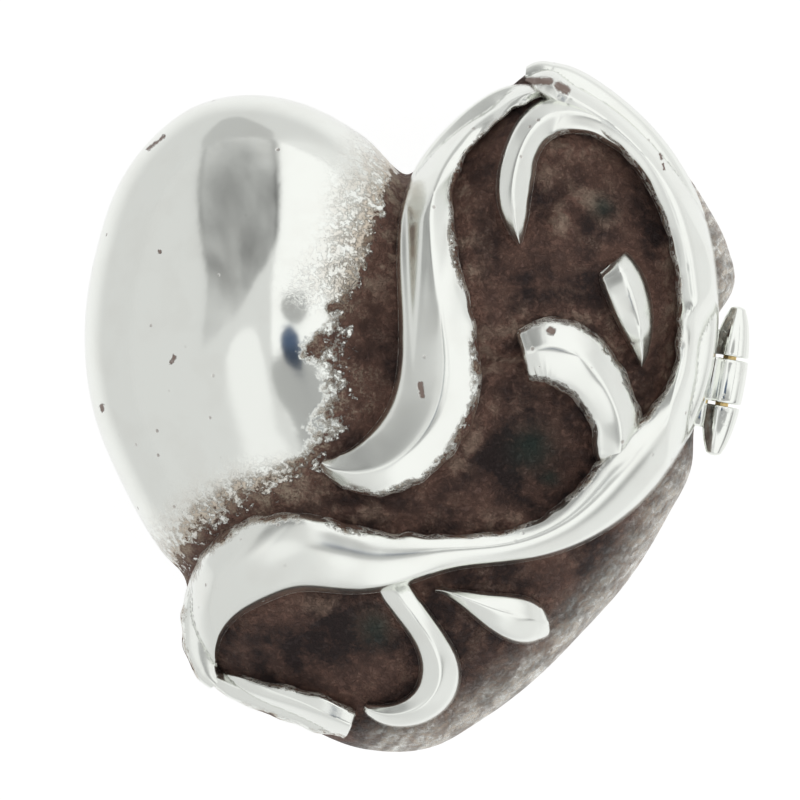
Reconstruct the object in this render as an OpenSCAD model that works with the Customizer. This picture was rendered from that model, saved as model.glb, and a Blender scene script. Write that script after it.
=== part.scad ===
// Heart-shaped trinket box: a puffed silver heart lying on its back, with a
// hinged lid that carries raised scrollwork. X is across the lobes, Y runs from
// the tip to the cleft, Z is up, and Z = 0 is the face that the box stands on.

/* [Heart] */
// Width across both lobes
heart_w = 59.1; // [48:0.1:90]
// Length from the lobes to the tip
heart_l = 62.4; // [50:0.1:95]
// Wall thickness of both shells
wall = 1.4; // [1:0.1:2]
// Squareness of the puffed profile, where 2 is an ellipse
puff = 2.4; // [2:0.1:3]

/* [Base] */
// Height of the base shell from its foot to the seam
base_h = 12.8; // [10:0.1:20]
// Width of the flat foot
foot_w = 34.5; // [28:0.5:42]
// Thickness of the felt under the foot
felt_t = 0.8; // [0.5:0.1:2]
// Step of the felt's edge inside the edge of the foot
felt_step = 0.8; // [0.3:0.1:2]
// Height of the inner bezel above the seam
bezel_rise = 2; // [1:0.1:2.5]
// Depth of the inner bezel below the seam
bezel_drop = 2; // [1:0.1:2.5]
// Thickness of the inner bezel
bezel_t = 0.8; // [0.6:0.1:1.4]
// Clearance between the bezel and the walls at the seam
bezel_gap = 0.55; // [0.5:0.05:0.8]

/* [Lid] */
// Rise of the lid above the seam at its middle
lid_rise = 15.2; // [11:0.1:20]
// Gap left at the seam
seam_gap = 0.2; // [0.1:0.05:0.4]
// Extra swelling of the smooth lobe, as a share of the rise
lobe_swell = 0.17; // [0:0.01:0.25]
// Depth of the valley beside the smooth lobe, as a share of the rise
valley_sink = 0.1; // [0:0.01:0.15]

/* [Scrollwork] */
// Height of the scrollwork over the lid, as a multiple of the drawn heights
relief = 1; // [0.7:0.05:1.3]
// Clearance of the solder seat under the scrollwork
seat_gap = 0.25; // [0.15:0.05:0.4]
// Height of a scroll's side walls, as a share of its crown
scroll_edge = 0.35; // [0.25:0.05:0.6]

/* [Hinge] */
// Largest radius of the ovoid hinge barrel
barrel_r = 1.8; // [1.5:0.1:2.4]
// Length of the hinge barrel
barrel_l = 13; // [11:0.5:16]
// Radius of the barrel's ends, as a share of its largest radius
barrel_taper = 0.42; // [0.4:0.02:0.7]
// Length of the lid's middle knuckle
knuckle_l = 4; // [3:0.5:6]
// Gap between two knuckles
knuckle_gap = 0.3; // [0.2:0.05:0.5]
// Clearance between the barrel and the flank of the heart
hinge_gap = 0.3; // [0.25:0.05:0.5]
// Radius of the hinge pin
pin_r = 0.6; // [0.4:0.05:0.8]
// Radial clearance of the pin in the lid's knuckle
pin_run = 0.05; // [0.02:0.01:0.1]
// Radial clearance of the pin in the base's knuckles
pin_fit = 0.02; // [0.01:0.01:0.05]
// Thickness of a hinge leaf
leaf_t = 0.9; // [0.7:0.1:1.2]
// Height of the base's hinge leaf
base_leaf_h = 3; // [2:0.1:4]
// Height of the lid's hinge leaf, under the band
lid_leaf_h = 1.2; // [0.8:0.1:1.3]
// Length of a hinge leaf along the flank
leaf_l = 9; // [8:0.5:10]
// Gap between a leaf and the wall that it is soldered to
leaf_seat = 0.15; // [0.1:0.05:0.3]

/* [Catch] */
// Width of the catch spring
catch_w = 6; // [4:0.5:8]
// Thickness of the catch spring
catch_t = 0.5; // [0.4:0.05:0.8]
// Length of the catch spring below the seam
catch_drop = 3.5; // [2.5:0.5:4]
// Height of the spring's nose above the bezel
catch_rise = 1.6; // [1:0.1:2]
// Clearance between the spring's nose and the striker
catch_gap = 0.3; // [0.2:0.05:0.5]
// Radius of the catch rivets
rivet_r = 0.4; // [0.3:0.05:0.5]
// Thickness of the striker plate on the lid
striker_t = 0.5; // [0.4:0.05:0.7]

/* [Lining] */
// Thickness of the velvet cushion in the base at its edge
cushion_t = 2.6; // [1.5:0.1:4]
// Crown of the cushion over its edge
cushion_crown = 1; // [0.3:0.1:2]
// Thickness of the velvet panel in the lid
panel_t = 1.2; // [0.8:0.1:2]
// Spread of the velvet panel, as a share of the lid's inside
panel_spread = 0.82; // [0.6:0.02:0.86]
// Clearance of the velvet from the metal
soft_gap = 0.35; // [0.3:0.05:0.6]

/* [Hidden] */
$fn = 48;

// The rim is drawn anticlockwise from the hinge, about the middle of the heart.
RIM = [
    // flank behind the hinge
    [25.4, -2.8], [26.2, 2.1], [27.1, 7.0],
    // shoulder and crest of the scrolled lobe
    [29.0, 10.2], [28.5, 13.9], [26.5, 17.9], [22.4, 23.5],
    [18.4, 27.2], [15.1, 29.2], [11.5, 30.6],
    // fall of the crest into the cleft
    [9.4, 29.1], [7.6, 27.5], [4.7, 25.5], [1.9, 23.1], [-0.5, 20.6],
    // smooth lobe
    [-4.9, 24.2], [-10.5, 27.1], [-14.8, 27.8], [-19.5, 27.0],
    [-24.3, 23.5], [-26.8, 20.0], [-28.9, 14.2], [-30.1, 5.9],
    [-29.5, -0.2], [-26.7, -7.6], [-23.0, -13.9],
    // notch and tip
    [-20.9, -16.4], [-20.5, -20.7], [-18.8, -24.2], [-15.7, -27.1],
    [-11.1, -29.2], [-4.6, -31.8], [1.9, -31.5],
    // long lower side back to the hinge
    [5.5, -29.5], [10.3, -26.0], [14.9, -21.5], [19.5, -16.3],
    [23.0, -10.6], [25.2, -6.0]
];
rim_n = len(RIM);

// Scales from the drawn heart to the one that is made: across, along and overall
function spread(axis) = max([for (p = RIM) p[axis]]) - min([for (p = RIM) p[axis]]);
kx = heart_w / spread(0);
ky = heart_l / spread(1);
ks = sqrt(kx * ky);
rim_xy = [for (p = RIM) [p[0] * kx, p[1] * ky]];

// Angles and radii of the drawn points, so that the rim is one smooth function.
function turn(p) = atan2(p[1], p[0]);
function wrap(a) = a < turn(rim_xy[0]) ? a + 360 : a;
rim_a = concat([for (p = rim_xy) wrap(turn(p))], [turn(rim_xy[0]) + 360]);
rim_r = concat([for (p = rim_xy) norm(p)], [norm(rim_xy[0])]);

function gap_after(i) = rim_a[i % rim_n + 1] - rim_a[i % rim_n];
function rise_after(i) = (rim_r[i % rim_n + 1] - rim_r[i % rim_n]) / gap_after(i);
function rim_slope(i) =
    let (before = gap_after(i + rim_n - 1), after = gap_after(i))
    (rise_after(i + rim_n - 1) * after + rise_after(i) * before) / (before + after);
rim_m = [for (i = [0:rim_n]) rim_slope(i)];

// Cubic through the drawn radii, at share s of the span after point i
function rim_cubic(i, s) =
    let (h = gap_after(i), s2 = s * s, s3 = s * s * s)
    (2 * s3 - 3 * s2 + 1) * rim_r[i] + (s3 - 2 * s2 + s) * h * rim_m[i]
    + (3 * s2 - 2 * s3) * rim_r[i + 1] + (s3 - s2) * h * rim_m[i + 1];

// Radius of the rim at any angle
function rim_radius(a) =
    let (
        b = rim_a[0] + (((a - rim_a[0]) % 360) + 360) % 360,
        i = [for (k = [0:rim_n - 1]) if (b >= rim_a[k] && b <= rim_a[k + 1]) k][0]
    )
    rim_cubic(i, (b - rim_a[i]) / gap_after(i));

// The rim's sample points: each drawn span is cut in two.
cuts = 2;
rim_line = [
    for (i = [0:rim_n - 1], c = [0:cuts - 1])
        let (a = rim_a[i] + gap_after(i) * c / cuts)
        rim_cubic(i, c / cuts) * [cos(a), sin(a)]
];
line_n = len(rim_line);

function unit(v) = v / norm(v);
function rim_outward(j) =
    let (d = rim_line[(j + 1) % line_n] - rim_line[(j + line_n - 1) % line_n])
    unit([d[1], -d[0]]);

// The rim moved in by a wall, straight towards the middle, which keeps it whole.
inset_cap = 2.2;
function rim_inset(d) = [
    for (j = [0:line_n - 1])
        let (p = rim_line[j], lean = unit(p) * rim_outward(j))
        p * (1 - d * min(inset_cap, 1 / max(lean, 0.1)) / norm(p))
];
function every_second(line) = [for (j = [0:2:len(line) - 1]) line[j]];

// Puffed profile: height share over the radius share, upright at the rim
function puffed(rho) = sqrt(max(0, 1 - pow(min(rho, 1), puff)));
function rho_at(height) = pow(1 - height * height, 1 / puff);

// Swelling of the smooth lobe and the valley beside it, drawn like the rim
lobe_at = [-15.5, 8.5];
lobe_reach = [8.5, 12.5];
valley_at = [-4.2, 9];
valley_reach = [3, 13];
function bell(x, y, at, reach) =
    exp(-pow((x / kx - at[0]) / reach[0], 2) - pow((y / ky - at[1]) / reach[1], 2));
function swell(x, y) =
    1 + lobe_swell * bell(x, y, lobe_at, lobe_reach)
      - valley_sink * bell(x, y, valley_at, valley_reach);

// Levels
foot_z = felt_t;
seam_z = felt_t + base_h;
lid_z0 = seam_z + seam_gap;
rho_edge = 0.975;
function rho_of(x, y) = norm([x, y]) / rim_radius(atan2(y, x));
function lid_top(x, y) =
    lid_z0 + lid_rise * puffed(min(rho_of(x, y), rho_edge)) * swell(x, y);

// Bowl of the base: the same profile, cut flat at the foot
foot_rho = foot_w / heart_w;
bowl_d = base_h / puffed(foot_rho);
bowl_in = bowl_d - wall;
floor_rho = rho_at((base_h - wall) / bowl_in);
bowl_low = 0.99;
function bowl_rho(z) = rho_at(min(bowl_low, (seam_z - z) / bowl_in));

// ---- Solids made from closed rings ------------------------------------------

// A solid through rings of points that all run the same way round. The first
// and last rings close onto one point each.
module ring_solid(first, rings, last) {
    n = len(rings[0]);
    m = len(rings);
    tip_a = n * m;
    tip_b = n * m + 1;
    points = concat([for (r = rings) each r], [first, last]);
    fan_a = [for (j = [0:n - 1]) [tip_a, (j + 1) % n, j]];
    fan_b = [for (j = [0:n - 1]) [tip_b, (m - 1) * n + j, (m - 1) * n + (j + 1) % n]];
    sides = [
        for (k = [0:m - 2], j = [0:n - 1])
            let (a = k * n + j, b = k * n + (j + 1) % n, c = b + n, d = a + n)
            each [[a, b, c], [a, c, d]]
    ];
    polyhedron(points = points, faces = concat(fan_a, sides, fan_b), convexity = 6);
}

function flat_ring(line, share, z) = [for (p = line) [p[0] * share, p[1] * share, z]];
function lid_ring(line, share, rise, drop) = [
    for (p = line)
        let (x = p[0] * share, y = p[1] * share)
        [x, y, lid_z0 - drop + rise * puffed(share) * swell(x, y)]
];

// Angles of the profile at which the shells have rings
outer_steps = [12, 24, 36, 47, 57, 66, 74, 81, 86, 90];
inner_steps = [90, 83, 74, 63, 50, 36, 20];
function step_rho(a) = pow(sin(a), 2 / puff);

// ---- Base -------------------------------------------------------------------

// Lower half of the heart: a puffed bowl with a flat foot
module base_shell() {
    outside = rim_line;
    inside = rim_inset(wall);
    foot_a = acos(puffed(foot_rho));
    floor_a = acos(puffed(floor_rho));
    outer = [
        for (s = [0, 0.2, 0.4, 0.58, 0.74, 0.88, 1])
            let (a = foot_a + (90 - foot_a) * s)
            flat_ring(outside, step_rho(a), seam_z - bowl_d * cos(a))
    ];
    inner = [
        for (s = [1, 0.85, 0.68, 0.5, 0.3, 0])
            let (a = floor_a + (90 - floor_a) * s)
            flat_ring(inside, step_rho(a), seam_z - bowl_in * cos(a))
    ];
    rings = concat(outer, inner);
    color("silver")
        mirror([0, 0, 1])
            ring_solid(
                [0, 0, -foot_z],
                [for (r = rings) [for (p = r) [p[0], p[1], -p[2]]]],
                [0, 0, -foot_z - wall]
            );
}

// Inner bezel that the lid closes over
module base_bezel() {
    outside = rim_inset(wall + bezel_gap);
    inside = rim_inset(wall + bezel_gap + bezel_t);
    color("gainsboro")
        translate([0, 0, seam_z - bezel_drop])
            linear_extrude(bezel_rise + bezel_drop)
                difference() {
                    polygon(outside);
                    polygon(inside);
                }
}

// Velvet cushion on the floor of the base. Its sides lean, so it stands further
// in from the wall than its gap.
cushion_lean = 1.6;
cushion_ease = 0.012;
module base_cushion() {
    line = every_second(rim_inset(wall + cushion_lean * soft_gap));
    z0 = foot_z + wall + soft_gap;
    z1 = z0 + cushion_t;
    side = [0, 0.45, 0.8, 1];
    top = [[0.94, 0.35], [0.7, 0.75], [0.35, 0.95]];
    rings = concat(
        [for (s = side)
            flat_ring(line, bowl_rho(z0 + cushion_t * s) - cushion_ease, z0 + cushion_t * s)],
        [for (t = top)
            flat_ring(line, t[0] * bowl_rho(z1), z1 + cushion_crown * t[1])]
    );
    color("maroon")
        mirror([0, 0, 1])
            ring_solid(
                [0, 0, -z0],
                [for (r = rings) [for (p = r) [p[0], p[1], -p[2]]]],
                [0, 0, -z1 - cushion_crown]
            );
}

// Felt sole
module sole_felt() {
    share = foot_rho - felt_step / (heart_w / 2);
    color("dimgray")
        linear_extrude(felt_t)
            polygon([for (p = every_second(rim_line)) p * share]);
}

// ---- Hinge ------------------------------------------------------------------

// The barrel lies along the flank, just outside it.
flank = rim_xy[2] - rim_xy[0];
hinge_turn = atan2(flank[1], flank[0]) - 90;
hinge_out = [cos(hinge_turn), sin(hinge_turn)];
hinge_mid = (rim_xy[0] + rim_xy[2]) / 2;
flank_reach = max([for (j = [0:2 * cuts]) rim_line[j] * hinge_out]);
wall_x = -(barrel_r + hinge_gap);
hinge_at = hinge_mid
    + hinge_out * (flank_reach - wall_x - hinge_mid * hinge_out);

module in_hinge() {
    translate([hinge_at[0], hinge_at[1], seam_z])
        rotate([0, 0, hinge_turn])
            children();
}

function barrel_at(t) =
    let (s = 2 * t / barrel_l)
    barrel_r * sqrt(1 - (1 - barrel_taper * barrel_taper) * s * s);

// One knuckle of the ovoid barrel between two places along the axis. A blind
// end is rounded over and hides the pin.
round_n = 6;
cap_bulge = 0.5;
// How far a bore is cut past the face that it opens
overcut = 0.5;
module knuckle(t0, t1, bore, blind) {
    steps = 8;
    side = [for (i = [0:steps]) let (t = t0 + (t1 - t0) * i / steps) [barrel_at(t), t]];
    cap_r = barrel_at(t1);
    cap = [
        for (i = [1:round_n - 1])
            let (a = 90 * i / round_n)
            [cap_r * cos(a), t1 + cap_r * cap_bulge * sin(a)]
    ];
    end = blind ? concat(cap, [[0, t1 + cap_r * cap_bulge]]) : [[0, t1]];
    depth = t1 - t0 + (blind ? overcut : 2 * overcut);
    rotate([-90, 0, 0])
        difference() {
            rotate_extrude() polygon(concat([[0, t0]], side, end));
            translate([0, 0, t0 - overcut]) cylinder(r = bore, h = depth);
        }
}

// Slope of a wall away from the hinge: how far it lies in at a height from the seam
function wall_in(height, full) =
    norm(hinge_mid) * (1 - rho_at(min(0.9, height / full)));

// Section of a leaf that lies on a wall, drawn upwards from the seam. It starts
// beyond the barrel of the other half.
leaf_pass = 0.45;
leaf_z0 = barrel_r + leaf_pass;
function leaf_section(full, high) = [
    for (s = [0, 0.5, 1])
        let (z = leaf_z0 + high * s) [wall_x + leaf_seat - wall_in(z, full), z],
    for (s = [1, 0.5, 0])
        let (z = leaf_z0 + high * s) [wall_x + leaf_seat + leaf_t - wall_in(z, full), z]
];
// Web from a leaf to a knuckle, clear of the pin
web_seat = 1.15;
web_toe = 0.5;
web_heel = 0.3;
web_bury = 0.5;
web_section = [
    [wall_x + leaf_seat, leaf_z0 + web_bury], [wall_x + leaf_seat, 2 * web_toe],
    [-web_seat, web_toe], [-web_heel, web_seat],
    [wall_x + leaf_seat + leaf_t, leaf_z0 + 2 * web_bury]
];

module along_hinge(t0, t1) {
    translate([0, t1, 0]) rotate([90, 0, 0]) linear_extrude(t1 - t0) children();
}

knuckle_end = knuckle_l / 2 + knuckle_gap;
web_l = leaf_l / 2 - knuckle_end;

// Leaf with the two outer knuckles, soldered to the base
module hinge_base() {
    color("silver")
        in_hinge() {
            mirror([0, 0, 1]) {
                along_hinge(-leaf_l / 2, leaf_l / 2) polygon(leaf_section(bowl_d, base_leaf_h));
                for (side = [-1, 1])
                    along_hinge(
                        side * (knuckle_end + web_l / 2) - web_l / 2,
                        side * (knuckle_end + web_l / 2) + web_l / 2
                    ) polygon(web_section);
            }
            knuckle(knuckle_end, barrel_l / 2, pin_r + pin_fit, true);
            mirror([0, 1, 0])
                knuckle(knuckle_end, barrel_l / 2, pin_r + pin_fit, true);
        }
}

// Leaf with the middle knuckle, soldered to the lid
module hinge_lid() {
    color("silver")
        in_hinge() {
            translate([0, 0, seam_gap])
                along_hinge(-leaf_l / 2, leaf_l / 2) polygon(leaf_section(lid_rise, lid_leaf_h));
            along_hinge(-knuckle_l / 2, knuckle_l / 2) polygon(web_section);
            knuckle(-knuckle_l / 2, knuckle_l / 2, pin_r + pin_run, false);
        }
}

// Hinge pin, hidden in the barrel, whose blind ends it stays back from
pin_back = 0.2;
module hinge_pin() {
    pin_l = barrel_l - 2 * pin_back;
    color("goldenrod")
        in_hinge()
            rotate([-90, 0, 0])
                translate([0, 0, -pin_l / 2])
                    cylinder(r = pin_r, h = pin_l);
}

// ---- Catch ------------------------------------------------------------------

// The catch stands inside the rim, across the heart from the hinge, square to
// the wall at the widest drawn point of the smooth lobe.
catch_point = 22;
catch_j = catch_point * cuts;
catch_out = rim_outward(catch_j);
bezel_in = wall + bezel_gap + bezel_t;
catch_seat = 0.3;

module in_catch() {
    translate([rim_line[catch_j][0], rim_line[catch_j][1], seam_z])
        rotate([0, 0, atan2(catch_out[1], catch_out[0])])
            children();
}

// How far the lid's inner wall lies in from the rim, at a height over the seam
function lid_in(height) =
    wall + norm(rim_line[catch_j]) * (1 - rho_at((height - seam_gap) / (lid_rise - wall)));

striker_z0 = bezel_rise + catch_seat;
striker_z1 = striker_z0 + catch_rise;
spring_x = -bezel_in - catch_seat;
nose_z = (striker_z0 + striker_z1) / 2;
nose_x = min(spring_x + catch_t, -lid_in(nose_z) - catch_seat - striker_t - catch_gap);

// Leaf spring with a bent nose over the bezel
nose_flat = 0.2;
module catch_spring() {
    bend = [
        [spring_x, -catch_drop], [spring_x, striker_z0 - nose_flat / 2],
        [nose_x, nose_z - nose_flat], [nose_x, nose_z + nose_flat],
        [spring_x - catch_t, striker_z1 + nose_flat], [spring_x - 2 * catch_t, striker_z1],
        [nose_x - catch_t, nose_z], [spring_x - catch_t, striker_z0],
        [spring_x - catch_t, -catch_drop]
    ];
    color("goldenrod")
        in_catch()
            difference() {
                translate([0, catch_w / 2, 0])
                    rotate([90, 0, 0])
                        linear_extrude(catch_w) polygon(bend);
                for (side = [-1, 1])
                    translate([
                        spring_x - catch_t - overcut, side * catch_w / 4, -bezel_drop / 2
                    ])
                        rotate([0, 90, 0])
                            cylinder(r = rivet_r + pin_fit, h = catch_t + 2 * overcut);
            }
}

// Two rivets that hold the spring to the bezel
module catch_rivets() {
    head_t = 0.3;
    head_seat = 0.03;
    shank = catch_t + catch_seat / 2;
    color("goldenrod")
        in_catch()
            for (side = [-1, 1])
                translate([spring_x - catch_t - head_seat, side * catch_w / 4, -bezel_drop / 2])
                    rotate([0, 90, 0]) {
                        cylinder(r = rivet_r, h = shank);
                        translate([0, 0, -head_t])
                            cylinder(r1 = rivet_r, r2 = rivet_r * 1.7, h = head_t);
                    }
}

// Striker plate on the inside of the lid, level with the spring's nose
module catch_striker() {
    outer = [for (z = [striker_z0, nose_z, striker_z1]) [-lid_in(z) - catch_seat, z]];
    inner = [for (z = [striker_z1, nose_z, striker_z0]) [-lid_in(z) - catch_seat - striker_t, z]];
    color("gainsboro")
        in_catch()
            translate([0, catch_w / 2, 0])
                rotate([90, 0, 0])
                    linear_extrude(catch_w) polygon(concat(outer, inner));
}

// ---- Lid --------------------------------------------------------------------

// Upper half of the heart: a puffed dome with a swollen smooth lobe
module lid_shell() {
    outside = rim_line;
    inside = rim_inset(wall);
    rings = concat(
        [for (a = outer_steps) lid_ring(outside, step_rho(a), lid_rise, 0)],
        [for (a = inner_steps) lid_ring(inside, step_rho(a), lid_rise - wall, 0)]
    );
    color("silver")
        ring_solid(
            [0, 0, lid_z0 + lid_rise * swell(0, 0)],
            rings,
            [0, 0, lid_z0 + (lid_rise - wall) * swell(0, 0)]
        );
}

// Velvet panel that lines the lid
module lid_panel() {
    line = every_second(rim_inset(wall));
    rise = lid_rise - wall;
    upper = [0.3, 0.6, panel_spread];
    lower = [panel_spread - 0.02, 0.6, 0.3];
    rings = concat(
        [for (s = upper) lid_ring(line, s, rise, soft_gap)],
        [for (s = lower) lid_ring(line, s, rise, soft_gap + panel_t)]
    );
    crown = lid_z0 + rise * swell(0, 0) - soft_gap;
    color("maroon")
        ring_solid([0, 0, crown], rings, [0, 0, crown - panel_t]);
}

// ---- Scrollwork -------------------------------------------------------------

// Curve through a scroll's stations, each [x, y, width, height]
function spline(p, i, s) =
    let (
        last = len(p) - 1,
        a = p[max(i - 1, 0)], b = p[i], c = p[min(i + 1, last)], d = p[min(i + 2, last)],
        s2 = s * s, s3 = s * s * s
    )
    0.5 * (2 * b + (c - a) * s + (2 * a - 5 * b + 4 * c - d) * s2
           + (3 * b - a - 3 * c + d) * s3);

// Slope of the lid, so that a scroll keeps its thickness where the lid is steep
steep_step = 0.2;
steep_cap = 1.7;
function steep(x, y) =
    let (
        z = lid_top(x, y),
        dx = (lid_top(x + steep_step, y) - z) / steep_step,
        dy = (lid_top(x, y + steep_step) - z) / steep_step
    )
    min(steep_cap, sqrt(1 + dx * dx + dy * dy));

// Crown of a scroll across its width, from -1 to 1, with its crest at c
crown_power = 1.7;
function crown(t, c) =
    let (u = t < c ? (c - t) / (1 + c) : (t - c) / (1 - c))
    scroll_edge + (1 - scroll_edge) * sqrt(max(0, 1 - pow(u, crown_power)));

// One cross-section: over the crown and back under along the lid
function section(at, side, crest) =
    let (half = at[2] / 2 * ks, h = at[3] * relief * ks)
    concat(
        [for (t = [-1, -0.93, -0.72, -0.4, crest, 0.4, 0.72, 0.93, 1])
            let (x = at[0] * kx + side[0] * half * t, y = at[1] * ky + side[1] * half * t)
            [x, y, lid_top(x, y) + seat_gap + h * crown(t, crest) * steep(x, y)]],
        [for (t = [1, 0.35, -0.35, -1])
            let (x = at[0] * kx + side[0] * half * t, y = at[1] * ky + side[1] * half * t)
            [x, y, lid_top(x, y) + seat_gap]]
    );

// A strip of scrollwork that follows the lid through its stations
module scroll(stations, crest = 0, per_span = 3) {
    spans = len(stations) - 1;
    path = concat(
        [for (i = [0:spans - 1], k = [0:per_span - 1]) spline(stations, i, k / per_span)],
        [stations[spans]]
    );
    n = len(path);
    rings = [
        for (i = [0:n - 1])
            let (
                a = path[max(i - 1, 0)], b = path[min(i + 1, n - 1)],
                d = unit([(b[0] - a[0]) * kx, (b[1] - a[1]) * ky])
            )
            section(path[i], [-d[1], d[0]], crest)
    ];
    color("whitesmoke")
        ring_solid(mean(rings[0]), rings, mean(rings[n - 1]));
}
function mean(ring) = [
    for (k = [0:2]) ([for (p = ring) p[k]] * [for (p = ring) 1]) / len(ring)
];

// Long double curve down the middle of the heart, ending in a broad hook
module s_scroll() {
    scroll([
        [11.9, 28.1, 0.4, 0.7], [10.7, 28.1, 1.3, 1.2], [9.2, 27.7, 2.3, 1.5],
        [6.9, 26.6, 2.6, 1.7], [4.0, 24.0, 2.8, 1.9], [1.9, 20.8, 3.8, 2.3],
        [0.9, 17.5, 4.7, 2.6], [1.0, 12.8, 5.6, 2.8], [1.9, 7.6, 6.8, 3.0],
        [2.4, 2.6, 8.0, 3.2], [1.6, -1.2, 7.8, 3.2], [-0.6, -4.4, 7.2, 3.0],
        [-3.6, -6.2, 6.0, 2.6], [-6.6, -6.5, 3.4, 2.0], [-8.5, -5.6, 0.7, 1.2]
    ], crest = 0.12);
}

// Band that rounds the right lobe and runs back along the lower side
module outer_scroll() {
    scroll([
        [9.6, 29.6, 1.0, 1.2], [12.2, 29.9, 2.6, 1.8], [15.2, 28.0, 3.3, 2.2],
        [19.1, 25.1, 3.7, 2.3], [22.3, 21.2, 3.9, 2.4], [24.5, 16.8, 4.0, 2.4],
        [25.6, 11.8, 4.2, 2.4], [25.8, 6.4, 3.7, 2.4], [25.2, 2.0, 3.8, 2.4],
        [23.3, -2.4, 4.2, 2.6], [20.0, -5.7, 6.2, 2.9], [17.5, -8.8, 5.5, 2.9],
        [13.6, -11.9, 4.2, 2.6], [9.0, -13.4, 3.1, 2.3], [4.6, -13.7, 3.0, 2.2],
        [1.7, -13.8, 3.6, 2.3]
    ], crest = -0.15, per_span = 2);
}

// Broad wave that carries the band round the tip
module tip_wave() {
    scroll([
        [1.1, -13.9, 3.9, 2.4], [-3.4, -15.0, 6.0, 2.8], [-7.3, -14.2, 6.6, 3.1],
        [-10.9, -13.5, 7.4, 3.4], [-14.4, -14.4, 8.0, 3.4], [-17.2, -16.4, 7.2, 3.0],
        [-18.9, -19.1, 4.8, 2.4], [-19.5, -21.8, 2.6, 1.8], [-19.2, -24.0, 0.8, 1.0]
    ]);
}

// Crescent that springs from the crest of the band
module crest_curl() {
    scroll([
        [12.8, 25.8, 3.0, 2.0], [11.5, 25.1, 3.1, 2.2], [9.9, 23.3, 3.0, 2.3],
        [9.1, 20.8, 3.4, 2.3], [8.9, 18.2, 3.4, 2.2], [9.1, 15.9, 2.3, 1.9],
        [9.5, 14.1, 0.5, 1.0]
    ], crest = 0.1);
}

// Short scroll with a round head that joins the band
module branch_scroll() {
    scroll([
        [9.6, 4.2, 3.4, 1.6], [11.0, 4.6, 5.9, 2.3], [13.6, 4.4, 6.4, 2.6],
        [15.7, 2.8, 6.0, 2.7], [17.2, 0.6, 5.1, 2.7], [18.3, -1.7, 4.5, 2.6]
    ], crest = 0.1, per_span = 4);
}

// Leaf between the crescent and the band
module upper_leaf() {
    scroll([
        [17.7, 12.8, 3.0, 0.9], [18.2, 11.6, 3.9, 1.9], [19.1, 9.5, 4.1, 2.2],
        [19.9, 7.1, 3.4, 2.0], [20.4, 4.8, 1.9, 1.5], [20.5, 3.1, 0.4, 0.9]
    ], crest = 0.15);
}

// Leaf under the lower run of the band
module lower_leaf() {
    scroll([
        [1.8, -17.2, 0.4, 0.8], [3.5, -17.5, 1.0, 1.2], [5.5, -18.5, 2.4, 1.6],
        [7.5, -19.6, 3.5, 2.0], [9.5, -20.5, 4.0, 2.2], [11.0, -20.7, 2.8, 1.9],
        [11.8, -20.6, 1.3, 1.3]
    ], crest = 0.1);
}

// Hooked curl at the tip
module tip_curl() {
    scroll([
        [-1.3, -18.3, 2.7, 1.4], [0.4, -20.1, 2.9, 2.1], [1.5, -22.0, 3.1, 2.2],
        [2.5, -24.1, 4.1, 2.3], [2.1, -26.4, 4.0, 2.3], [0.5, -28.1, 3.2, 2.1],
        [-2.0, -28.8, 2.4, 1.8], [-3.8, -28.3, 1.6, 1.4], [-4.6, -27.8, 0.6, 0.9]
    ]);
}

// Band along the lower edge of the tip
module tip_band() {
    scroll([
        [-18.4, -25.0, 1.2, 1.0], [-17.2, -25.8, 2.2, 1.4], [-15.0, -26.5, 2.7, 1.7],
        [-12.4, -27.4, 2.9, 1.8], [-9.2, -28.2, 3.9, 1.9], [-7.2, -29.0, 3.4, 1.9],
        [-5.7, -29.6, 2.8, 1.7]
    ]);
}

base_shell();
base_bezel();
base_cushion();
sole_felt();
hinge_base();
hinge_pin();
catch_spring();
catch_rivets();
lid_shell();
s_scroll();
outer_scroll();
tip_wave();
crest_curl();
branch_scroll();
upper_leaf();
lower_leaf();
tip_curl();
tip_band();
lid_panel();
hinge_lid();
catch_striker();
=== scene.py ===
"""Finish of the heart-shaped trinket box: silver shells, scrollwork, hinge and velvet."""

import logging
import math
from dataclasses import dataclass, field
from enum import Enum
from typing import Any, Callable, Union

import bmesh
import bpy
import numpy as np
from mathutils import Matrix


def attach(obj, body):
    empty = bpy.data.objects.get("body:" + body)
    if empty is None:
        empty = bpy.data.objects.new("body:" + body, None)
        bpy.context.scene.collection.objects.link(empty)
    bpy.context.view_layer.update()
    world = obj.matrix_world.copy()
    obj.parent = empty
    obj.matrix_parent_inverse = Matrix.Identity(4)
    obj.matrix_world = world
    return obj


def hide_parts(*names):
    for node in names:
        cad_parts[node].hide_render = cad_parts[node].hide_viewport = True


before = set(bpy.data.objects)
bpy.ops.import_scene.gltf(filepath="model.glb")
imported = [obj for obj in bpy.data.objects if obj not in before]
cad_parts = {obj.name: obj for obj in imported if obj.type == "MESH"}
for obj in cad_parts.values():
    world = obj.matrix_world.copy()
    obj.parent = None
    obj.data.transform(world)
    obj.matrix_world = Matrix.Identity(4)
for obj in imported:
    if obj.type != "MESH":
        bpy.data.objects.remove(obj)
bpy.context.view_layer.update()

LOG = logging.getLogger("trinket_box")
MM = 0.001
Value = Union["Sock", float, int]
Array = np.ndarray
Warp = Callable[[Array], Array]


class Body(Enum):
    """The two rigid bodies that pieces ride on."""

    BASE = "base"
    LID = "lid"


class Slot(Enum):
    """Material slots of the record."""

    POLISHED = "polished_silver"
    SCROLL = "scroll_silver"
    VELVET = "velvet"
    FELT = "felt"


# Shader maths


def _sign(operation: str, swapped: bool = False) -> Callable[["Sock", Value], "Sock"]:
    """Return the method behind one arithmetic sign.

    Args:
        operation: Operation of the Math node.
        swapped: Whether the other value comes first.

    Returns:
        The method.
    """

    def method(self: "Sock", other: Value) -> "Sock":
        """Return a Math node of both values."""
        return self.math(operation, *((other, self) if swapped else (self, other)))

    return method


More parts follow.
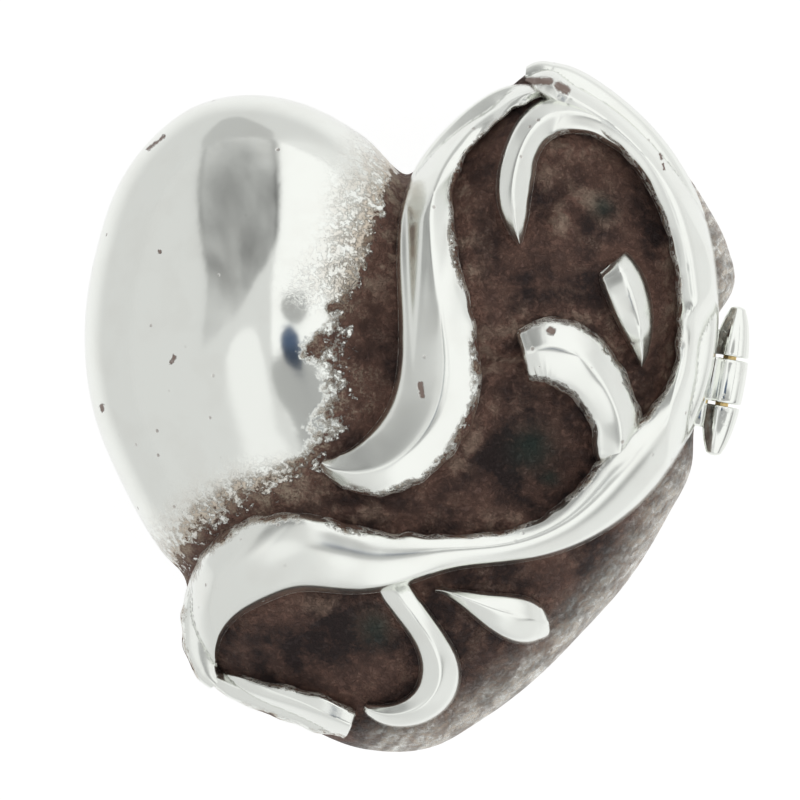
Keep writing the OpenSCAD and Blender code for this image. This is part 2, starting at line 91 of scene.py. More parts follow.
class Sock:
    """A node socket that can be used in arithmetic."""

    __add__ = _sign("ADD")
    __radd__ = _sign("ADD", swapped=True)
    __sub__ = _sign("SUBTRACT")
    __rsub__ = _sign("SUBTRACT", swapped=True)
    __mul__ = _sign("MULTIPLY")
    __rmul__ = _sign("MULTIPLY", swapped=True)

    def __init__(self, kit: "Nodes", socket: Any) -> None:
        self.kit = kit
        self.socket = socket

    def math(self, operation: str, *values: Value) -> "Sock":
        """Return a Math node of the values."""
        return self.kit.add("ShaderNodeMath", {"operation": operation}, dict(enumerate(values)))

    def ramp(self, low: float, high: float, start: float = 0.0, end: float = 1.0) -> "Sock":
        """Return a smooth step of this value.

        Args:
            low: Value at which the step starts.
            high: Value at which the step ends.
            start: Result below low.
            end: Result above high.

        Returns:
            The stepped value.
        """
        settings = {"interpolation_type": "SMOOTHSTEP", "clamp": True}
        links = {"Value": self, "From Min": low, "From Max": high, "To Min": start, "To Max": end}
        return self.kit.add("ShaderNodeMapRange", settings, links)

    def power(self, exponent: float) -> "Sock":
        """Return self raised to a power."""
        return self.math("POWER", self, exponent)

    def clamp(self) -> "Sock":
        """Return self held between 0 and 1."""
        return self.kit.add("ShaderNodeClamp", {}, {"Value": self})


class Nodes:
    """A node tree that is filled one node at a time."""

    def __init__(self, tree: Any) -> None:
        """Start from a material's or a world's tree, emptied."""
        self.tree = tree
        tree.nodes.clear()

    def add(self, kind: str, settings: dict, inputs: dict, output: Union[int, str] = 0) -> Sock:
        """Add a node.

        Args:
            kind: The node's type.
            settings: Properties that are set before the sockets.
            inputs: Socket name or number to its value or link.
            output: Name or number of the socket that is returned.

        Returns:
            The node's output, ready for arithmetic.
        """
        node = self.tree.nodes.new(kind)
        for name, value in settings.items():
            setattr(node, name, value)
        for name, value in inputs.items():
            if isinstance(value, Sock):
                self.tree.links.new(value.socket, node.inputs[name])
            else:
                node.inputs[name].default_value = value
        return Sock(self, node.outputs[output] if len(node.outputs) else None)

    def place(self) -> Sock:
        """Return the object coordinates."""
        return self.add("ShaderNodeTexCoord", {}, {}, "Object")

    def ray(self, kind: str) -> Sock:
        """Return 1 for rays of a kind and 0 for others."""
        return self.add("ShaderNodeLightPath", {}, {}, f"Is {kind} Ray")

    def attribute(self, name: str) -> Sock:
        """Return a mesh attribute as a value, 0 on meshes without it."""
        return self.add("ShaderNodeAttribute", {"attribute_name": name}, {}, "Fac")

    def noise(self, scale: float, detail: float = 4.0, rough: float = 0.55, warp: float = 0.0) -> Sock:
        """Return noise over the object.

        Args:
            scale: Lumps per metre.
            detail: Octaves.
            rough: Share that each octave keeps.
            warp: Distortion.

        Returns:
            Noise from 0 to 1.
        """
        links = {"Vector": self.place(), "Scale": scale, "Detail": detail}
        links.update({"Roughness": rough, "Distortion": warp})
        return self.add("ShaderNodeTexNoise", {}, links, "Fac")

    def cells(self, scale: float) -> Sock:
        """Return the distance to the nearest of scattered points."""
        return self.add("ShaderNodeTexVoronoi", {}, {"Vector": self.place(), "Scale": scale}, "Distance")

    def split(self, vector: Sock) -> tuple:
        """Return the three parts of a vector."""
        first = self.add("ShaderNodeSeparateXYZ", {}, {0: vector})
        return tuple(Sock(self, output) for output in first.socket.node.outputs)

    def stroke(self, x: Sock, y: Sock, line: tuple) -> Sock:
        """Return a short stroke.

        Args:
            x: Places across, in metres.
            y: Places along, in metres.
            line: Both ends and half the width (x0, y0, x1, y1, half), in millimetres.

        Returns:
            1 on the stroke and 0 away from it.
        """
        x0, y0, x1, y1, half = (MM * value for value in line)
        dx, dy = x1 - x0, y1 - y0
        across, along = x - x0, y - y0
        share = ((across * dx + along * dy) * (1.0 / (dx * dx + dy * dy))).clamp()
        off_x, off_y = across - share * dx, along - share * dy
        return (off_x * off_x + off_y * off_y).power(0.5).ramp(0.5 * half, half, 1.0, 0.0)

    def blend(self, factor: Sock, first: Any, second: Any) -> Sock:
        """Return a mix of two colours.

        Args:
            factor: Share of the second colour.
            first: First colour or socket.
            second: Second colour or socket.

        Returns:
            The mixed colour.
        """
        sides = [c if isinstance(c, Sock) else (*c, 1.0) for c in (first, second)]
        return self.add("ShaderNodeMix", {"data_type": "RGBA"}, {0: factor, 6: sides[0], 7: sides[1]}, 2)

    def bump(self, height: Sock, depth_mm: float) -> Sock:
        """Return a normal bent by a height from 0 to 1 of a depth."""
        return self.add("ShaderNodeBump", {}, {"Strength": 1.0, "Distance": depth_mm * MM, "Height": height})


def new_material(name: str) -> tuple[Any, Nodes]:
    """Return a new material and its empty tree.

    Args:
        name: Its name.

    Returns:
        The material and the tree.
    """
    material = bpy.data.materials.new(name)
    material.use_nodes = True
    return material, Nodes(material.node_tree)


# Finishes


class Finish:
    """A finish, made by filling a new material with its look."""

    name: str

    def look(self, kit: Nodes) -> dict:
        """Return the principled shader's sockets."""
        raise NotImplementedError

    def make(self) -> Any:
        """Return the material."""
        material, kit = new_material(self.name)
        shader = kit.add("ShaderNodeBsdfPrincipled", {}, self.look(kit))
        kit.add("ShaderNodeOutputMaterial", {}, {"Surface": shader})
        return material


@dataclass(frozen=True)
class AgedSilver(Finish):
    """Polished silver that turns to dark oxide where the mesh says so.

    A noise is (lumps per metre, octaves, share that each octave keeps, distortion),
    and a mark is (x0, y0, x1, y1, half its width) in millimetres.
    """

    name: str = "aged_silver"
    silver: tuple = (0.89, 0.91, 0.865)
    warm: tuple = (0.80, 0.80, 0.75)
    oxide_dark: tuple = (0.025, 0.013, 0.012)
    oxide_brown: tuple = (0.185, 0.100, 0.074)
    oxide_dust: tuple = (0.42, 0.33, 0.25)
    oxide_stain: tuple = (0.68, 0.60, 0.50)
    oxide_green: tuple = (0.022, 0.048, 0.038)
    polish: float = 0.09
    speckle_noise: tuple = (1500.0, 5.0, 0.72, 0.3)
    grain_noise: tuple = (4200.0, 4.0, 0.65)
    cloud_noise: tuple = (260.0, 3.0, 0.5)
    coarse_noise: tuple = (520.0, 5.0, 0.62)
    broad_noise: tuple = (170.0, 3.0, 0.55)
    pit_noise: tuple = (90.0, 2.0)
    pit_scale: float = 520.0
    pit_share: float = 0.12
    drag_across: float = 320.0
    drag_along: float = 1150.0
    mark_stray: float = 0.0006
    depth_mm: float = 0.32
    marks: tuple = (
        (-22.8, 24.0, -24.3, 22.8, 0.17), (-22.1, 3.4, -21.8, 3.9, 0.22), (-28.5, -0.5, -28.4, -0.9, 0.24),
        (-23.2, 13.5, -23.1, 13.4, 0.2), (0.45, 1.4, 0.65, 0.4, 0.35), (12.2, 6.3, 12.4, 6.2, 0.42),
        (22.2, 22.3, 22.4, 21.9, 0.14), (22.5, 21.4, 22.6, 20.9, 0.12), (13.0, 28.5, 13.7, 28.1, 0.5),
        (9.0, 29.0, 12.2, 28.9, 0.45),
    )

    def _drag(self, kit: Nodes, coarse: Sock) -> Sock:
        """Return scratches that run slantwise over worn metal.

        Args:
            kit: The material's tree.
            coarse: Noise that bends the scratches.

        Returns:
            Noise drawn out along the scratches.
        """
        x, y, _ = kit.split(kit.place())
        across = (x - y) * self.drag_along + (coarse - 0.5) * 2.2
        drawn = kit.add("ShaderNodeCombineXYZ", {}, {0: (x + y) * self.drag_across, 1: across, 2: 0.0})
        return kit.add("ShaderNodeTexNoise", {}, {"Vector": drawn, "Scale": 1.0, "Detail": 4.0}, "Fac")

    def _pits(self, kit: Nodes, speckle: Sock, grain: Sock) -> Sock:
        """Return the pits and the marks.

        Args:
            kit: The material's tree.
            speckle: Noise that frays the marks across.
            grain: Noise that frays the marks along.

        Returns:
            1 in a pit and 0 on sound metal.
        """
        pit = kit.cells(self.pit_scale).ramp(0.05, self.pit_share, 1.0, 0.0)
        pit = pit * kit.noise(*self.pit_noise).ramp(0.48, 0.6) * 0.6
        x, y, _ = kit.split(kit.place())
        x, y = x + (speckle - 0.5) * self.mark_stray, y + (grain - 0.5) * self.mark_stray
        strokes = kit.stroke(x, y, self.marks[0])
        for line in self.marks[1:]:
            strokes = strokes + kit.stroke(x, y, line)
        return (pit + strokes * kit.attribute("outer") * (0.5 + speckle)).clamp()

    def look(self, kit: Nodes) -> dict:
        """Return the sockets: clean, stained, pitted and oxidised silver over each other.

        Args:
            kit: The material's tree.

        Returns:
            Socket names and what feeds them.
        """
        # Painted shade rides on the oxide attribute in the ground's bowls, and painted light rides on the
        # pale tarnish attribute on the tops of its lumps.
        oxide, wear, crevice, cream = (kit.attribute(name) for name in ("oxide", "wear", "deep", "cream"))
        speckle, grain = kit.noise(*self.speckle_noise), kit.noise(*self.grain_noise)
        coarse, broad = kit.noise(*self.coarse_noise), kit.noise(*self.broad_noise)
        cloud = kit.noise(*self.cloud_noise)
        ragged = (coarse - 0.5) * 2.6 + (speckle - 0.5) * 1.8 + (grain - 0.5) * 0.5
        drag = self._drag(kit, coarse)
        edge = oxide * 1.25 + ragged * (0.1 + oxide.ramp(0.0, 0.35) * 0.7) - wear * speckle * 0.7
        mask = edge.ramp(0.42, 0.54) * (1.0 - wear * (0.45 + drag.ramp(0.35, 0.65) * 0.5))
        # Painted light: the pale tarnish amount, which also holds the lit tops of the ground's lumps,
        # lightens the stain, the tone and the dust below.
        flaked = cream * (coarse.ramp(0.36, 0.56) * 0.6 + speckle.ramp(0.45, 0.55) * 0.6)
        stain = (edge.ramp(0.08, 0.42) * (speckle.ramp(0.4, 0.6) * 0.8 + 0.1) + flaked).clamp()
        pit = self._pits(kit, speckle, grain)
        lit = broad.ramp(0.40, 0.62) * 0.5 + coarse.ramp(0.40, 0.62) * 0.4 + speckle.ramp(0.4, 0.65) * 0.2
        tone = (lit + (1.0 - oxide) * 1.2 + cream * 0.9 + crevice * broad.ramp(0.44, 0.6) * 0.5).clamp()
        brown = kit.blend(tone, self.oxide_dark, self.oxide_brown)
        fleck = coarse.ramp(0.50, 0.64) * grain.ramp(0.42, 0.6)
        dust = fleck * (0.2 + (1.0 - oxide) * 1.6) + cream * coarse.ramp(0.44, 0.58) * (0.3 + speckle * 0.6)
        dusty = kit.blend(dust.clamp(), brown, self.oxide_dust)
        deep = kit.blend(kit.attribute("green") * (0.5 + cloud * 0.5), dusty, self.oxide_green)
        bright = kit.blend(cloud.ramp(0.45, 0.7) * 0.25, self.silver, self.warm)
        stained = kit.blend(stain, bright, self.oxide_stain)
        dirty = kit.blend(pit * 0.85, stained, self.oxide_brown)
        carve = coarse * 0.9 + speckle * 0.9 + grain * 0.3
        height = (1.0 - pit) * 0.25 + carve * mask + carve * stain * 0.5 + cloud * 0.06
        return {
            "Base Color": kit.blend(mask, dirty, deep),
            "Metallic": 1.0 - mask * 0.75 - pit * 0.5,
            "Roughness": self.polish + cloud * 0.04 + stain * 0.2 + mask * (0.24 + grain * 0.2) + pit * 0.4,
            "Normal": kit.bump(height, self.depth_mm),
        }


@dataclass(frozen=True)
class SatinSilver(Finish):
    """Silver brushed to a satin for the bezel and the striker."""

    name: str = "satin_silver"
    colour: tuple = (0.80, 0.80, 0.77)
    shade: tuple = (0.62, 0.61, 0.58)

    def look(self, kit: Nodes) -> dict:
        """Return the principled shader's sockets."""
        streak, cloud = kit.noise(2600.0, 3.0), kit.noise(240.0, 3.0)
        return {
            "Base Color": kit.blend(cloud.ramp(0.4, 0.7) * 0.6, self.colour, self.shade),
            "Metallic": 1.0,
            "Roughness": 0.26 + streak * 0.16,
            "Normal": kit.bump(streak, 0.02),
        }


@dataclass(frozen=True)
class Brass(Finish):
    """Drawn brass of the pin, the spring and the rivets."""

    name: str = "drawn_brass"
    colour: tuple = (0.78, 0.58, 0.26)
    dull: tuple = (0.42, 0.28, 0.13)

    def look(self, kit: Nodes) -> dict:
        """Return the principled shader's sockets."""
        tarnish = kit.noise(700.0, 4.0, 0.6)
        return {
            "Base Color": kit.blend(tarnish.ramp(0.45, 0.75), self.colour, self.dull),
            "Metallic": 1.0,
            "Roughness": 0.2 + tarnish * 0.25,
            "Normal": kit.bump(kit.noise(4000.0, 2.0), 0.015),
        }


@dataclass(frozen=True)
class Velvet(Finish):
    """Short-pile velvet whose pile lies in brushed patches."""

    name: str = "velvet"
    deep: tuple = (0.075, 0.006, 0.014)
    lit: tuple = (0.26, 0.022, 0.045)
    sheen: float = 0.8
    sheen_tint: tuple = (1.0, 0.55, 0.6, 1.0)

    def look(self, kit: Nodes) -> dict:
        """Return the principled shader's sockets."""
        pile, brushed = kit.noise(5200.0, 3.0, 0.7), kit.noise(90.0, 3.0, 0.5, 0.5)
        tone = (brushed.ramp(0.30, 0.72) * 0.45 + pile * 0.6).clamp()
        return {
            "Base Color": kit.blend(tone, self.deep, self.lit),
            "Roughness": 0.85 + pile * 0.1,
            "Sheen Weight": self.sheen,
            "Sheen Roughness": 0.35,
            "Sheen Tint": self.sheen_tint,
            "Specular IOR Level": 0.15,
            "Normal": kit.bump(pile + brushed * 0.8, 0.16),
        }


@dataclass(frozen=True)
class Felt(Finish):
    """Pressed wool felt of the sole."""

    name: str = "felt"
    dark: tuple = (0.03, 0.03, 0.032)
    light: tuple = (0.09, 0.09, 0.095)

    def look(self, kit: Nodes) -> dict:
        """Return the principled shader's sockets."""
        fibre = kit.noise(3200.0, 6.0, 0.75, 1.5)
        return {
            "Base Color": kit.blend(fibre.ramp(0.35, 0.7), self.dark, self.light),
            "Roughness": 0.95,
            "Specular IOR Level": 0.1,
            "Normal": kit.bump(fibre, 0.2),
        }


# Form of the heart, in millimetres


def smooth_step(value: Array, low: float, high: float) -> Array:
    """Return a smooth step from 0 at low to 1 at high."""
    s = np.clip((value - low) / (high - low), 0.0, 1.0)
    return s * s * (3.0 - 2.0 * s)


def bell(value: Array) -> Array:
    """Return 1 at 0 and less away from it."""
    return np.exp(-(value**2))


def hill(x: Array, y: Array, spot: tuple) -> Array:
    """Return 1 on a spot (x, y, reach across, reach along) and less away from it."""
    return bell((x - spot[0]) / spot[2]) * bell((y - spot[1]) / spot[3])


def ripple(x: Array, y: Array, seed: float, length: float) -> Array:
    """Return the slight unevenness of hand-finished metal.

    Args:
        x: Places across.
        y: Places along.
        seed: Moves the pattern.
        length: Typical length of a wave.

    Returns:
        Heights from about -1 to 1.
    """
    total = np.zeros_like(x)
    for k in range(5):
        turn = seed + 1.9 * k
        wave = (x * math.cos(turn) + y * math.sin(turn)) * (2 * math.pi / (length * (1 + 0.23 * k)))
        total = total + np.sin(wave + 2.7 * seed * (k + 1))
    return total / 2.5


def distance_to(line: tuple, x: Array, y: Array) -> Array:
    """Return the distance from places to a broken line.

    Args:
        line: Corners of the line.
        x: Places across.
        y: Places along.

    Returns:
        Distances in millimetres.
    """
    best = np.full_like(x, 1e9)
    for (x0, y0), (x1, y1) in zip(line[:-1], line[1:]):
        dx, dy = x1 - x0, y1 - y0
        s = np.clip(((x - x0) * dx + (y - y0) * dy) / (dx * dx + dy * dy), 0.0, 1.0)
        best = np.minimum(best, np.hypot(x - x0 - s * dx, y - y0 - s * dy))
    return best


@dataclass
class Rim:
    """Outline of the heart at the seam: one smooth radius round the middle."""

    points: tuple = (
        (25.4, -2.8), (26.2, 2.1), (27.1, 7.0), (29.0, 10.2), (28.5, 13.9), (26.5, 17.9), (22.4, 23.5),
        (18.4, 27.2), (15.1, 29.2), (11.5, 30.6), (9.4, 29.1), (7.6, 27.5), (4.7, 25.5), (1.9, 23.1),
        (-0.5, 20.6), (-4.9, 24.2), (-10.5, 27.1), (-14.8, 27.8), (-19.5, 27.0), (-24.3, 23.5),
        (-26.8, 20.0), (-28.9, 14.2), (-30.1, 5.9), (-29.5, -0.2), (-26.7, -7.6), (-23.0, -13.9),
        (-20.9, -16.4), (-20.5, -20.7), (-18.8, -24.2), (-15.7, -27.1), (-11.1, -29.2), (-4.6, -31.8),
        (1.9, -31.5), (5.5, -29.5), (10.3, -26.0), (14.9, -21.5), (19.5, -16.3), (23.0, -10.6), (25.2, -6.0),
    )
    inset_cap: float = 2.2

    def __post_init__(self) -> None:
        """Turn the drawn points into angles, radii and slopes."""
        pts = np.array(self.points)
        turn = np.degrees(np.arctan2(pts[:, 1], pts[:, 0]))
        turn = np.where(turn < turn[0], turn + 360.0, turn)
        size = np.hypot(pts[:, 0], pts[:, 1])
        self.count = len(pts)
        self.turn = np.append(turn, turn[0] + 360.0)
        self.size = np.append(size, size[0])
        self.span = np.diff(self.turn)
        rise = np.diff(self.size) / self.span
        before = np.roll(self.span, 1)
        slope = (np.roll(rise, 1) * self.span + rise * before) / (before + self.span)
        self.slope = np.append(slope, slope[0])

    def radius(self, degrees: Array) -> Array:
        """Return the rim's radius.

        Args:
            degrees: Angles round the middle.

        Returns:
            Radii in millimetres.
        """
        wound = self.turn[0] + np.mod(np.asarray(degrees, float) - self.turn[0], 360.0)
        i = np.clip(np.searchsorted(self.turn, wound, side="right") - 1, 0, self.count - 1)
        h = self.span[i]
        s = (wound - self.turn[i]) / h
        s2, s3 = s * s, s * s * s
        ends = (2 * s3 - 3 * s2 + 1) * self.size[i] + (3 * s2 - 2 * s3) * self.size[i + 1]
        return ends + (s3 - 2 * s2 + s) * h * self.slope[i] + (s3 - s2) * h * self.slope[i + 1]

    def inset(self, degrees: Array, depth: float) -> Array:
        """Return the radius of the rim moved in by a wall.

        Args:
            degrees: Angles round the middle.
            depth: Thickness of the wall.

        Returns:
            Radii in millimetres.
        """
        step = 0.5
        r = self.radius(degrees)
        lean = (self.radius(degrees + step) - self.radius(degrees - step)) / math.radians(2 * step) / r
        return r - depth * np.minimum(self.inset_cap, np.sqrt(1.0 + lean * lean))


@dataclass
class Heart:
    """The puffed form: profile, levels and the lid's surface.

    The lobe and the valley are spots (x, y, reach across, reach along).
    """

    rim: Rim = field(default_factory=Rim)
    half_width: float = 29.55
    puff: float = 2.4
    wall: float = 1.4
    base_h: float = 12.8
    foot_w: float = 34.5
    felt_t: float = 0.8
    lid_rise: float = 15.2
    seam_gap: float = 0.2
    lobe_swell: float = 0.17
    lobe: tuple = (-15.5, 8.5, 8.5, 12.5)
    valley_sink: float = 0.1
    valley: tuple = (-4.2, 9.0, 3.0, 13.0)
    rho_edge: float = 0.975
    steep_cap: float = 1.7

    @property
    def seam_z(self) -> float:
        """Return the level of the base's rim."""
        return self.felt_t + self.base_h

    @property
    def lid_z0(self) -> float:
        """Return the level of the lid's rim."""
        return self.seam_z + self.seam_gap

    @property
    def bowl_d(self) -> float:
        """Return the depth that the base's profile would have without its foot."""
        share = self.foot_w / (2 * self.half_width)
        return self.base_h / math.sqrt(1 - share**self.puff)

    def puffed(self, rho: Array) -> Array:
        """Return the height share over a radius share."""
        return np.sqrt(np.maximum(0.0, 1.0 - np.minimum(rho, 1.0) ** self.puff))

    def swell(self, x: Array, y: Array) -> Array:
        """Return the factor of the smooth lobe and the valley beside it."""
        return 1.0 + self.lobe_swell * hill(x, y, self.lobe) - self.valley_sink * hill(x, y, self.valley)

    def rho(self, x: Array, y: Array) -> Array:
        """Return the share of the rim's radius at a place."""
        return np.hypot(x, y) / self.rim.radius(np.degrees(np.arctan2(y, x)))

    def lid_top(self, x: Array, y: Array) -> Array:
        """Return the height of the lid's surface at a place."""
        rho = np.minimum(self.rho(x, y), self.rho_edge)
        return self.lid_z0 + self.lid_rise * self.puffed(rho) * self.swell(x, y)

    def steep(self, x: Array, y: Array) -> Array:
        """Return how much longer the lid's surface is than its plan.

        Args:
            x: Places across.
            y: Places along.

        Returns:
            Factors from 1.
        """
        step = 0.2
        z = self.lid_top(x, y)
        dx = (self.lid_top(x + step, y) - z) / step
        dy = (self.lid_top(x, y + step) - z) / step
        return np.minimum(self.steep_cap, np.sqrt(1.0 + dx * dx + dy * dy))


# Meshes


class Piece:
    """One mesh of the object, built with bmesh and put on a body."""

    def __init__(self, name: str, body: Body, slot: Slot) -> None:
        """Start an empty piece.

        Args:
            name: Name of the object.
            body: Body that it rides on.
            slot: Material slot of the record; kept but not used.
        """
        self.name, self.body, self.slot = name, body, slot
        self.bm = bmesh.new()
        self.placed = self.bm.verts.layers.int.new("placed")

    def ball(self, around: int, along: int) -> Array:
        """Start from a ball of radius 1 and return its vertices."""
        bmesh.ops.create_uvsphere(self.bm, u_segments=around, v_segments=along, radius=1.0)
        return np.array([v.co[:] for v in self.bm.verts])

    def settle(self, x: Array, y: Array, z: Array) -> None:
        """Put every vertex in its place, in millimetres."""
        for vert, place in zip(self.bm.verts, np.stack([x, y, z], axis=1)):
            vert.co = place

    def _fresh(self) -> list:
        """Return the vertices that haven't been put in their place yet."""
        return [v for v in self.bm.verts if not v[self.placed]]

    def _shift(self, move: Warp) -> None:
        """Move the vertices that were added since the last call.

        Args:
            move: Takes and returns an array of places in millimetres.
        """
        fresh = self._fresh()
        for vert, place in zip(fresh, move(np.array([v.co[:] for v in fresh]))):
            vert.co = place
            vert[self.placed] = 1

    def block(self, cuts: int, round_share: float, move: Warp) -> None:
        """Add a cube of side 1 with rounded edges, moved by a formula.

        Args:
            cuts: Cuts along each edge.
            round_share: Width of the rounding, as a share of the side.
            move: Takes and returns an array of places.
        """
        cube = bmesh.ops.create_cube(self.bm, size=1.0)
        edges = list({edge for vert in cube["verts"] for edge in vert.link_edges})
        bmesh.ops.bevel(
            self.bm, geom=edges, offset=round_share, affect="EDGES", segments=2, profile=0.5, material=-1
        )
        long_edges = list({e for v in self._fresh() for e in v.link_edges if e.calc_length() > 0.5})
        bmesh.ops.subdivide_edges(self.bm, edges=long_edges, cuts=cuts, use_grid_fill=True)
        self._shift(move)

    def turned(self, profile: list, steps: int, move: Warp) -> None:
        """Add a solid of revolution about X, moved by a formula.

        Args:
            profile: Places (along the axis, radius), all the way round.
            steps: Steps of the full turn.
            move: Takes and returns an array of places.
        """
        verts = [self.bm.verts.new((along, radius, 0.0)) for along, radius in profile]
        edges = [self.bm.edges.new(pair) for pair in zip(verts, verts[1:] + verts[:1])]
        bmesh.ops.spin(
            self.bm, geom=verts + edges, cent=(0, 0, 0), axis=(1, 0, 0),
            angle=2 * math.pi, steps=steps, use_merge=True,
        )
        bmesh.ops.remove_doubles(self.bm, verts=self._fresh(), dist=1e-4)
        self._shift(move)

    def finish(self, material: Any, sharp_deg: float, **layers: Array) -> Any:
        """Make the object.

        Args:
            material: Its material.
            sharp_deg: Edges over this angle stay sharp.
            **layers: Attributes for the material, with one value per vertex.

        Returns:
            The finished object.
        """
        bmesh.ops.recalc_face_normals(self.bm, faces=self.bm.faces[:])
        self.bm.verts.layers.int.remove(self.placed)
        bmesh.ops.scale(self.bm, vec=(MM, MM, MM), verts=self.bm.verts[:])
        mesh = bpy.data.meshes.new(self.name)
        self.bm.to_mesh(mesh)
        self.bm.free()
        mesh.polygons.foreach_set("use_smooth", [True] * len(mesh.polygons))
        mesh.set_sharp_from_angle(angle=math.radians(sharp_deg))
        for name, values in layers.items():
            mesh.attributes.new(name, "FLOAT", "POINT").data.foreach_set("value", values.astype(np.float32))
        mesh.materials.append(material)
        obj = bpy.data.objects.new(self.name, mesh)
        bpy.context.scene.collection.objects.link(obj)
        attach(obj, self.body.value)
        LOG.info("%s: %d faces on %s", self.name, len(mesh.polygons), self.body.value)
        return obj


# Shells


@dataclass
class Shells:
    """The two halves of the heart.

    Bowls and lumps of the rough ground are (x, y, reach across, reach along, depth or height),
    green spots (x, y, reach) and streaks (x0, y0, x1, y1, reach). The bowls also get painted shade
    and the lumps get painted light on their tops.
    """

    heart: Heart
    silver: Any
    scrolls: tuple
    around: int = 480
    along: int = 128
    sharp_deg: float = 60.0
    ground_sink: float = 0.42
    bowls: tuple = (
        (12.5, 19.0, 4.5, 4.5, 0.5), (10.5, -6.0, 5.5, 3.5, 0.6), (-8.5, -21.5, 6.0, 3.0, 0.6),
        (10.0, 11.5, 3.2, 2.2, 0.3), (21.0, 15.5, 1.6, 3.2, 0.3), (-1.5, 9.0, 2.4, 6.0, 0.2),
    )
    # Painted shade: how much darker the bowls are made than the ground round them.
    bowl_shade: float = 0.5
    # The lumps raise the ground and also get painted light on their tops.
    lumps: tuple = (
        (15.8, 18.4, 2.2, 1.2, 1.0), (13.2, 16.2, 1.0, 1.6, 0.9), (17.8, 16.2, 0.9, 1.1, 0.6),
        (14.6, 23.0, 2.6, 1.0, 0.8), (11.8, 20.6, 1.1, 1.4, 0.5), (8.0, 3.7, 1.9, 0.22, 1.0),
        (8.5, -11.0, 3.5, 0.9, 0.6), (-6.0, -10.2, 4.0, 0.8, 0.6), (-8.5, -18.8, 2.6, 0.8, 0.5),
    )
    tan_lines: tuple = (
        ((3.4, 22.6), (4.4, 19.0), (4.6, 14.0), (5.6, 8.0), (6.9, 2.0), (6.3, -2.4), (3.6, -6.2)),
        ((8.2, 6.2), (10.2, 7.8), (13.4, 8.4), (16.6, 7.3), (18.2, 4.4)),
        ((23.0, 13.5), (23.5, 8.0), (23.0, 3.0), (21.6, -0.5)),
    )
    green_spots: tuple = ((10.6, -4.4, 1.9), (12.2, -7.0, 0.8), (-3.6, -20.6, 1.5), (17.0, 17.6, 1.1))
    lobe_edge: tuple = (
        (-0.8, 21.9), (-2.6, 18.2), (-3.5, 15.2), (-4.2, 12.5), (-5.6, 9.0), (-6.4, 4.5), (-5.8, 0.5),
        (-6.8, -2.7), (-8.8, -5.4), (-12.0, -7.6), (-15.4, -9.0), (-18.6, -10.9), (-20.6, -12.9),
        (-21.8, -16.0),
    )
    streaks: tuple = ((-5.6, 7.8, -9.4, 4.2, 0.75), (-4.6, 9.4, -7.6, 8.2, 0.4), (-5.2, 1.2, -7.4, 3.4, 0.3))
    streak_dark: float = 0.55
    crevice_reach: float = 0.45

    def _plan(self, ball: Array) -> tuple:
        """Return where a ball's vertices lie on a shell.

        Args:
            ball: Vertices of a ball of radius 1, the shell's outer side up.

        Returns:
            Places across and along, shares of the rim's radius, cosines of the
            angle from the pole, and whether each vertex is on the inner side.
        """
        turn = np.degrees(np.arctan2(ball[:, 1], ball[:, 0]))
        polar = np.degrees(np.arccos(np.clip(ball[:, 2], -1.0, 1.0)))
        ring = 180.0 / self.along
        inner = polar > 90.0 + ring / 2
        back = (180.0 - polar) * 90.0 / (90.0 - ring)
        polar = np.radians(np.where(inner, np.minimum(back, 90.0), polar))
        share = np.sin(polar) ** (2.0 / self.heart.puff)
        rim = self.heart.rim
        size = np.where(inner, rim.inset(turn, self.heart.wall), rim.radius(turn))
        turn = np.radians(turn)
        return share * size * np.cos(turn), share * size * np.sin(turn), share, np.cos(polar), inner

    def _oxide(self, x: Array, y: Array) -> Array:
        """Return how dark the ground is.

        Args:
            x: Places across.
            y: Places along.

        Returns:
            Amounts from 0 on the smooth lobe to 1.
        """
        edge = distance_to(self.lobe_edge, x, y)
        corners = np.array(self.lobe_edge)
        signed = np.where(x < np.interp(y, corners[::-1, 1], corners[::-1, 0]), -edge, edge)
        lower = smooth_step(-y, 4.0, 7.0) * smooth_step(-x, 4.0, 8.0)
        middle = smooth_step(y, -5.0, -2.0) * (1.0 - smooth_step(y, 5.0, 8.0))
        dark = smooth_step(signed, -2.0 - 1.4 * lower - 2.2 * middle, 1.6 + 2.8 * lower + 2.8 * middle)
        for x0, y0, x1, y1, reach in self.streaks:
            streak = bell(distance_to(((x0, y0), (x1, y1)), x, y) / reach)
            dark = np.maximum(dark, self.streak_dark * streak)
        return dark

    def _painted_bowl_shade(self, x: Array, y: Array) -> Array:
        """Return the painted shade that makes the bowls darker than the ground round them."""
        return np.max([self.bowl_shade * spot[4] * hill(x, y, spot) for spot in self.bowls[1:]], axis=0)

    def _cream(self, x: Array, y: Array) -> Array:
        """Return how much pale tan tarnish lies beside the dark ground, with painted light on the tops of its
        lumps.

        Args:
            x: Places across.
            y: Places along.

        Returns:
            Amounts from 0 to 1.
        """
        edge = distance_to(self.lobe_edge, x, y)
        upper = bell(edge / 3.4) * smooth_step(y, 7.0, 12.0)
        lower = bell(edge / 2.6) * smooth_step(-y, 4.0, 8.0)
        layers = [np.minimum(1.0, 0.9 * upper + 0.7 * lower)]
        layers += [0.9 * spot[4] * hill(x, y, spot) for spot in self.lumps]
        layers += [0.7 * bell(distance_to(line, x, y) / 0.8) for line in self.tan_lines]
        return np.max(layers, axis=0)

    def _crevice(self, x: Array, y: Array) -> Array:
        """Return 1 beside a scroll and less away from it.

        Args:
            x: Places across.
            y: Places along.

        Returns:
            A share for each place.
        """
        rounds = [spot for scroll in self.scrolls for spot in scroll.footprint()]
        gap = np.min([np.hypot(x - at_x, y - at_y) - half for at_x, at_y, half in rounds], axis=0)
        return np.exp(-np.maximum(gap, 0.0) / self.crevice_reach)

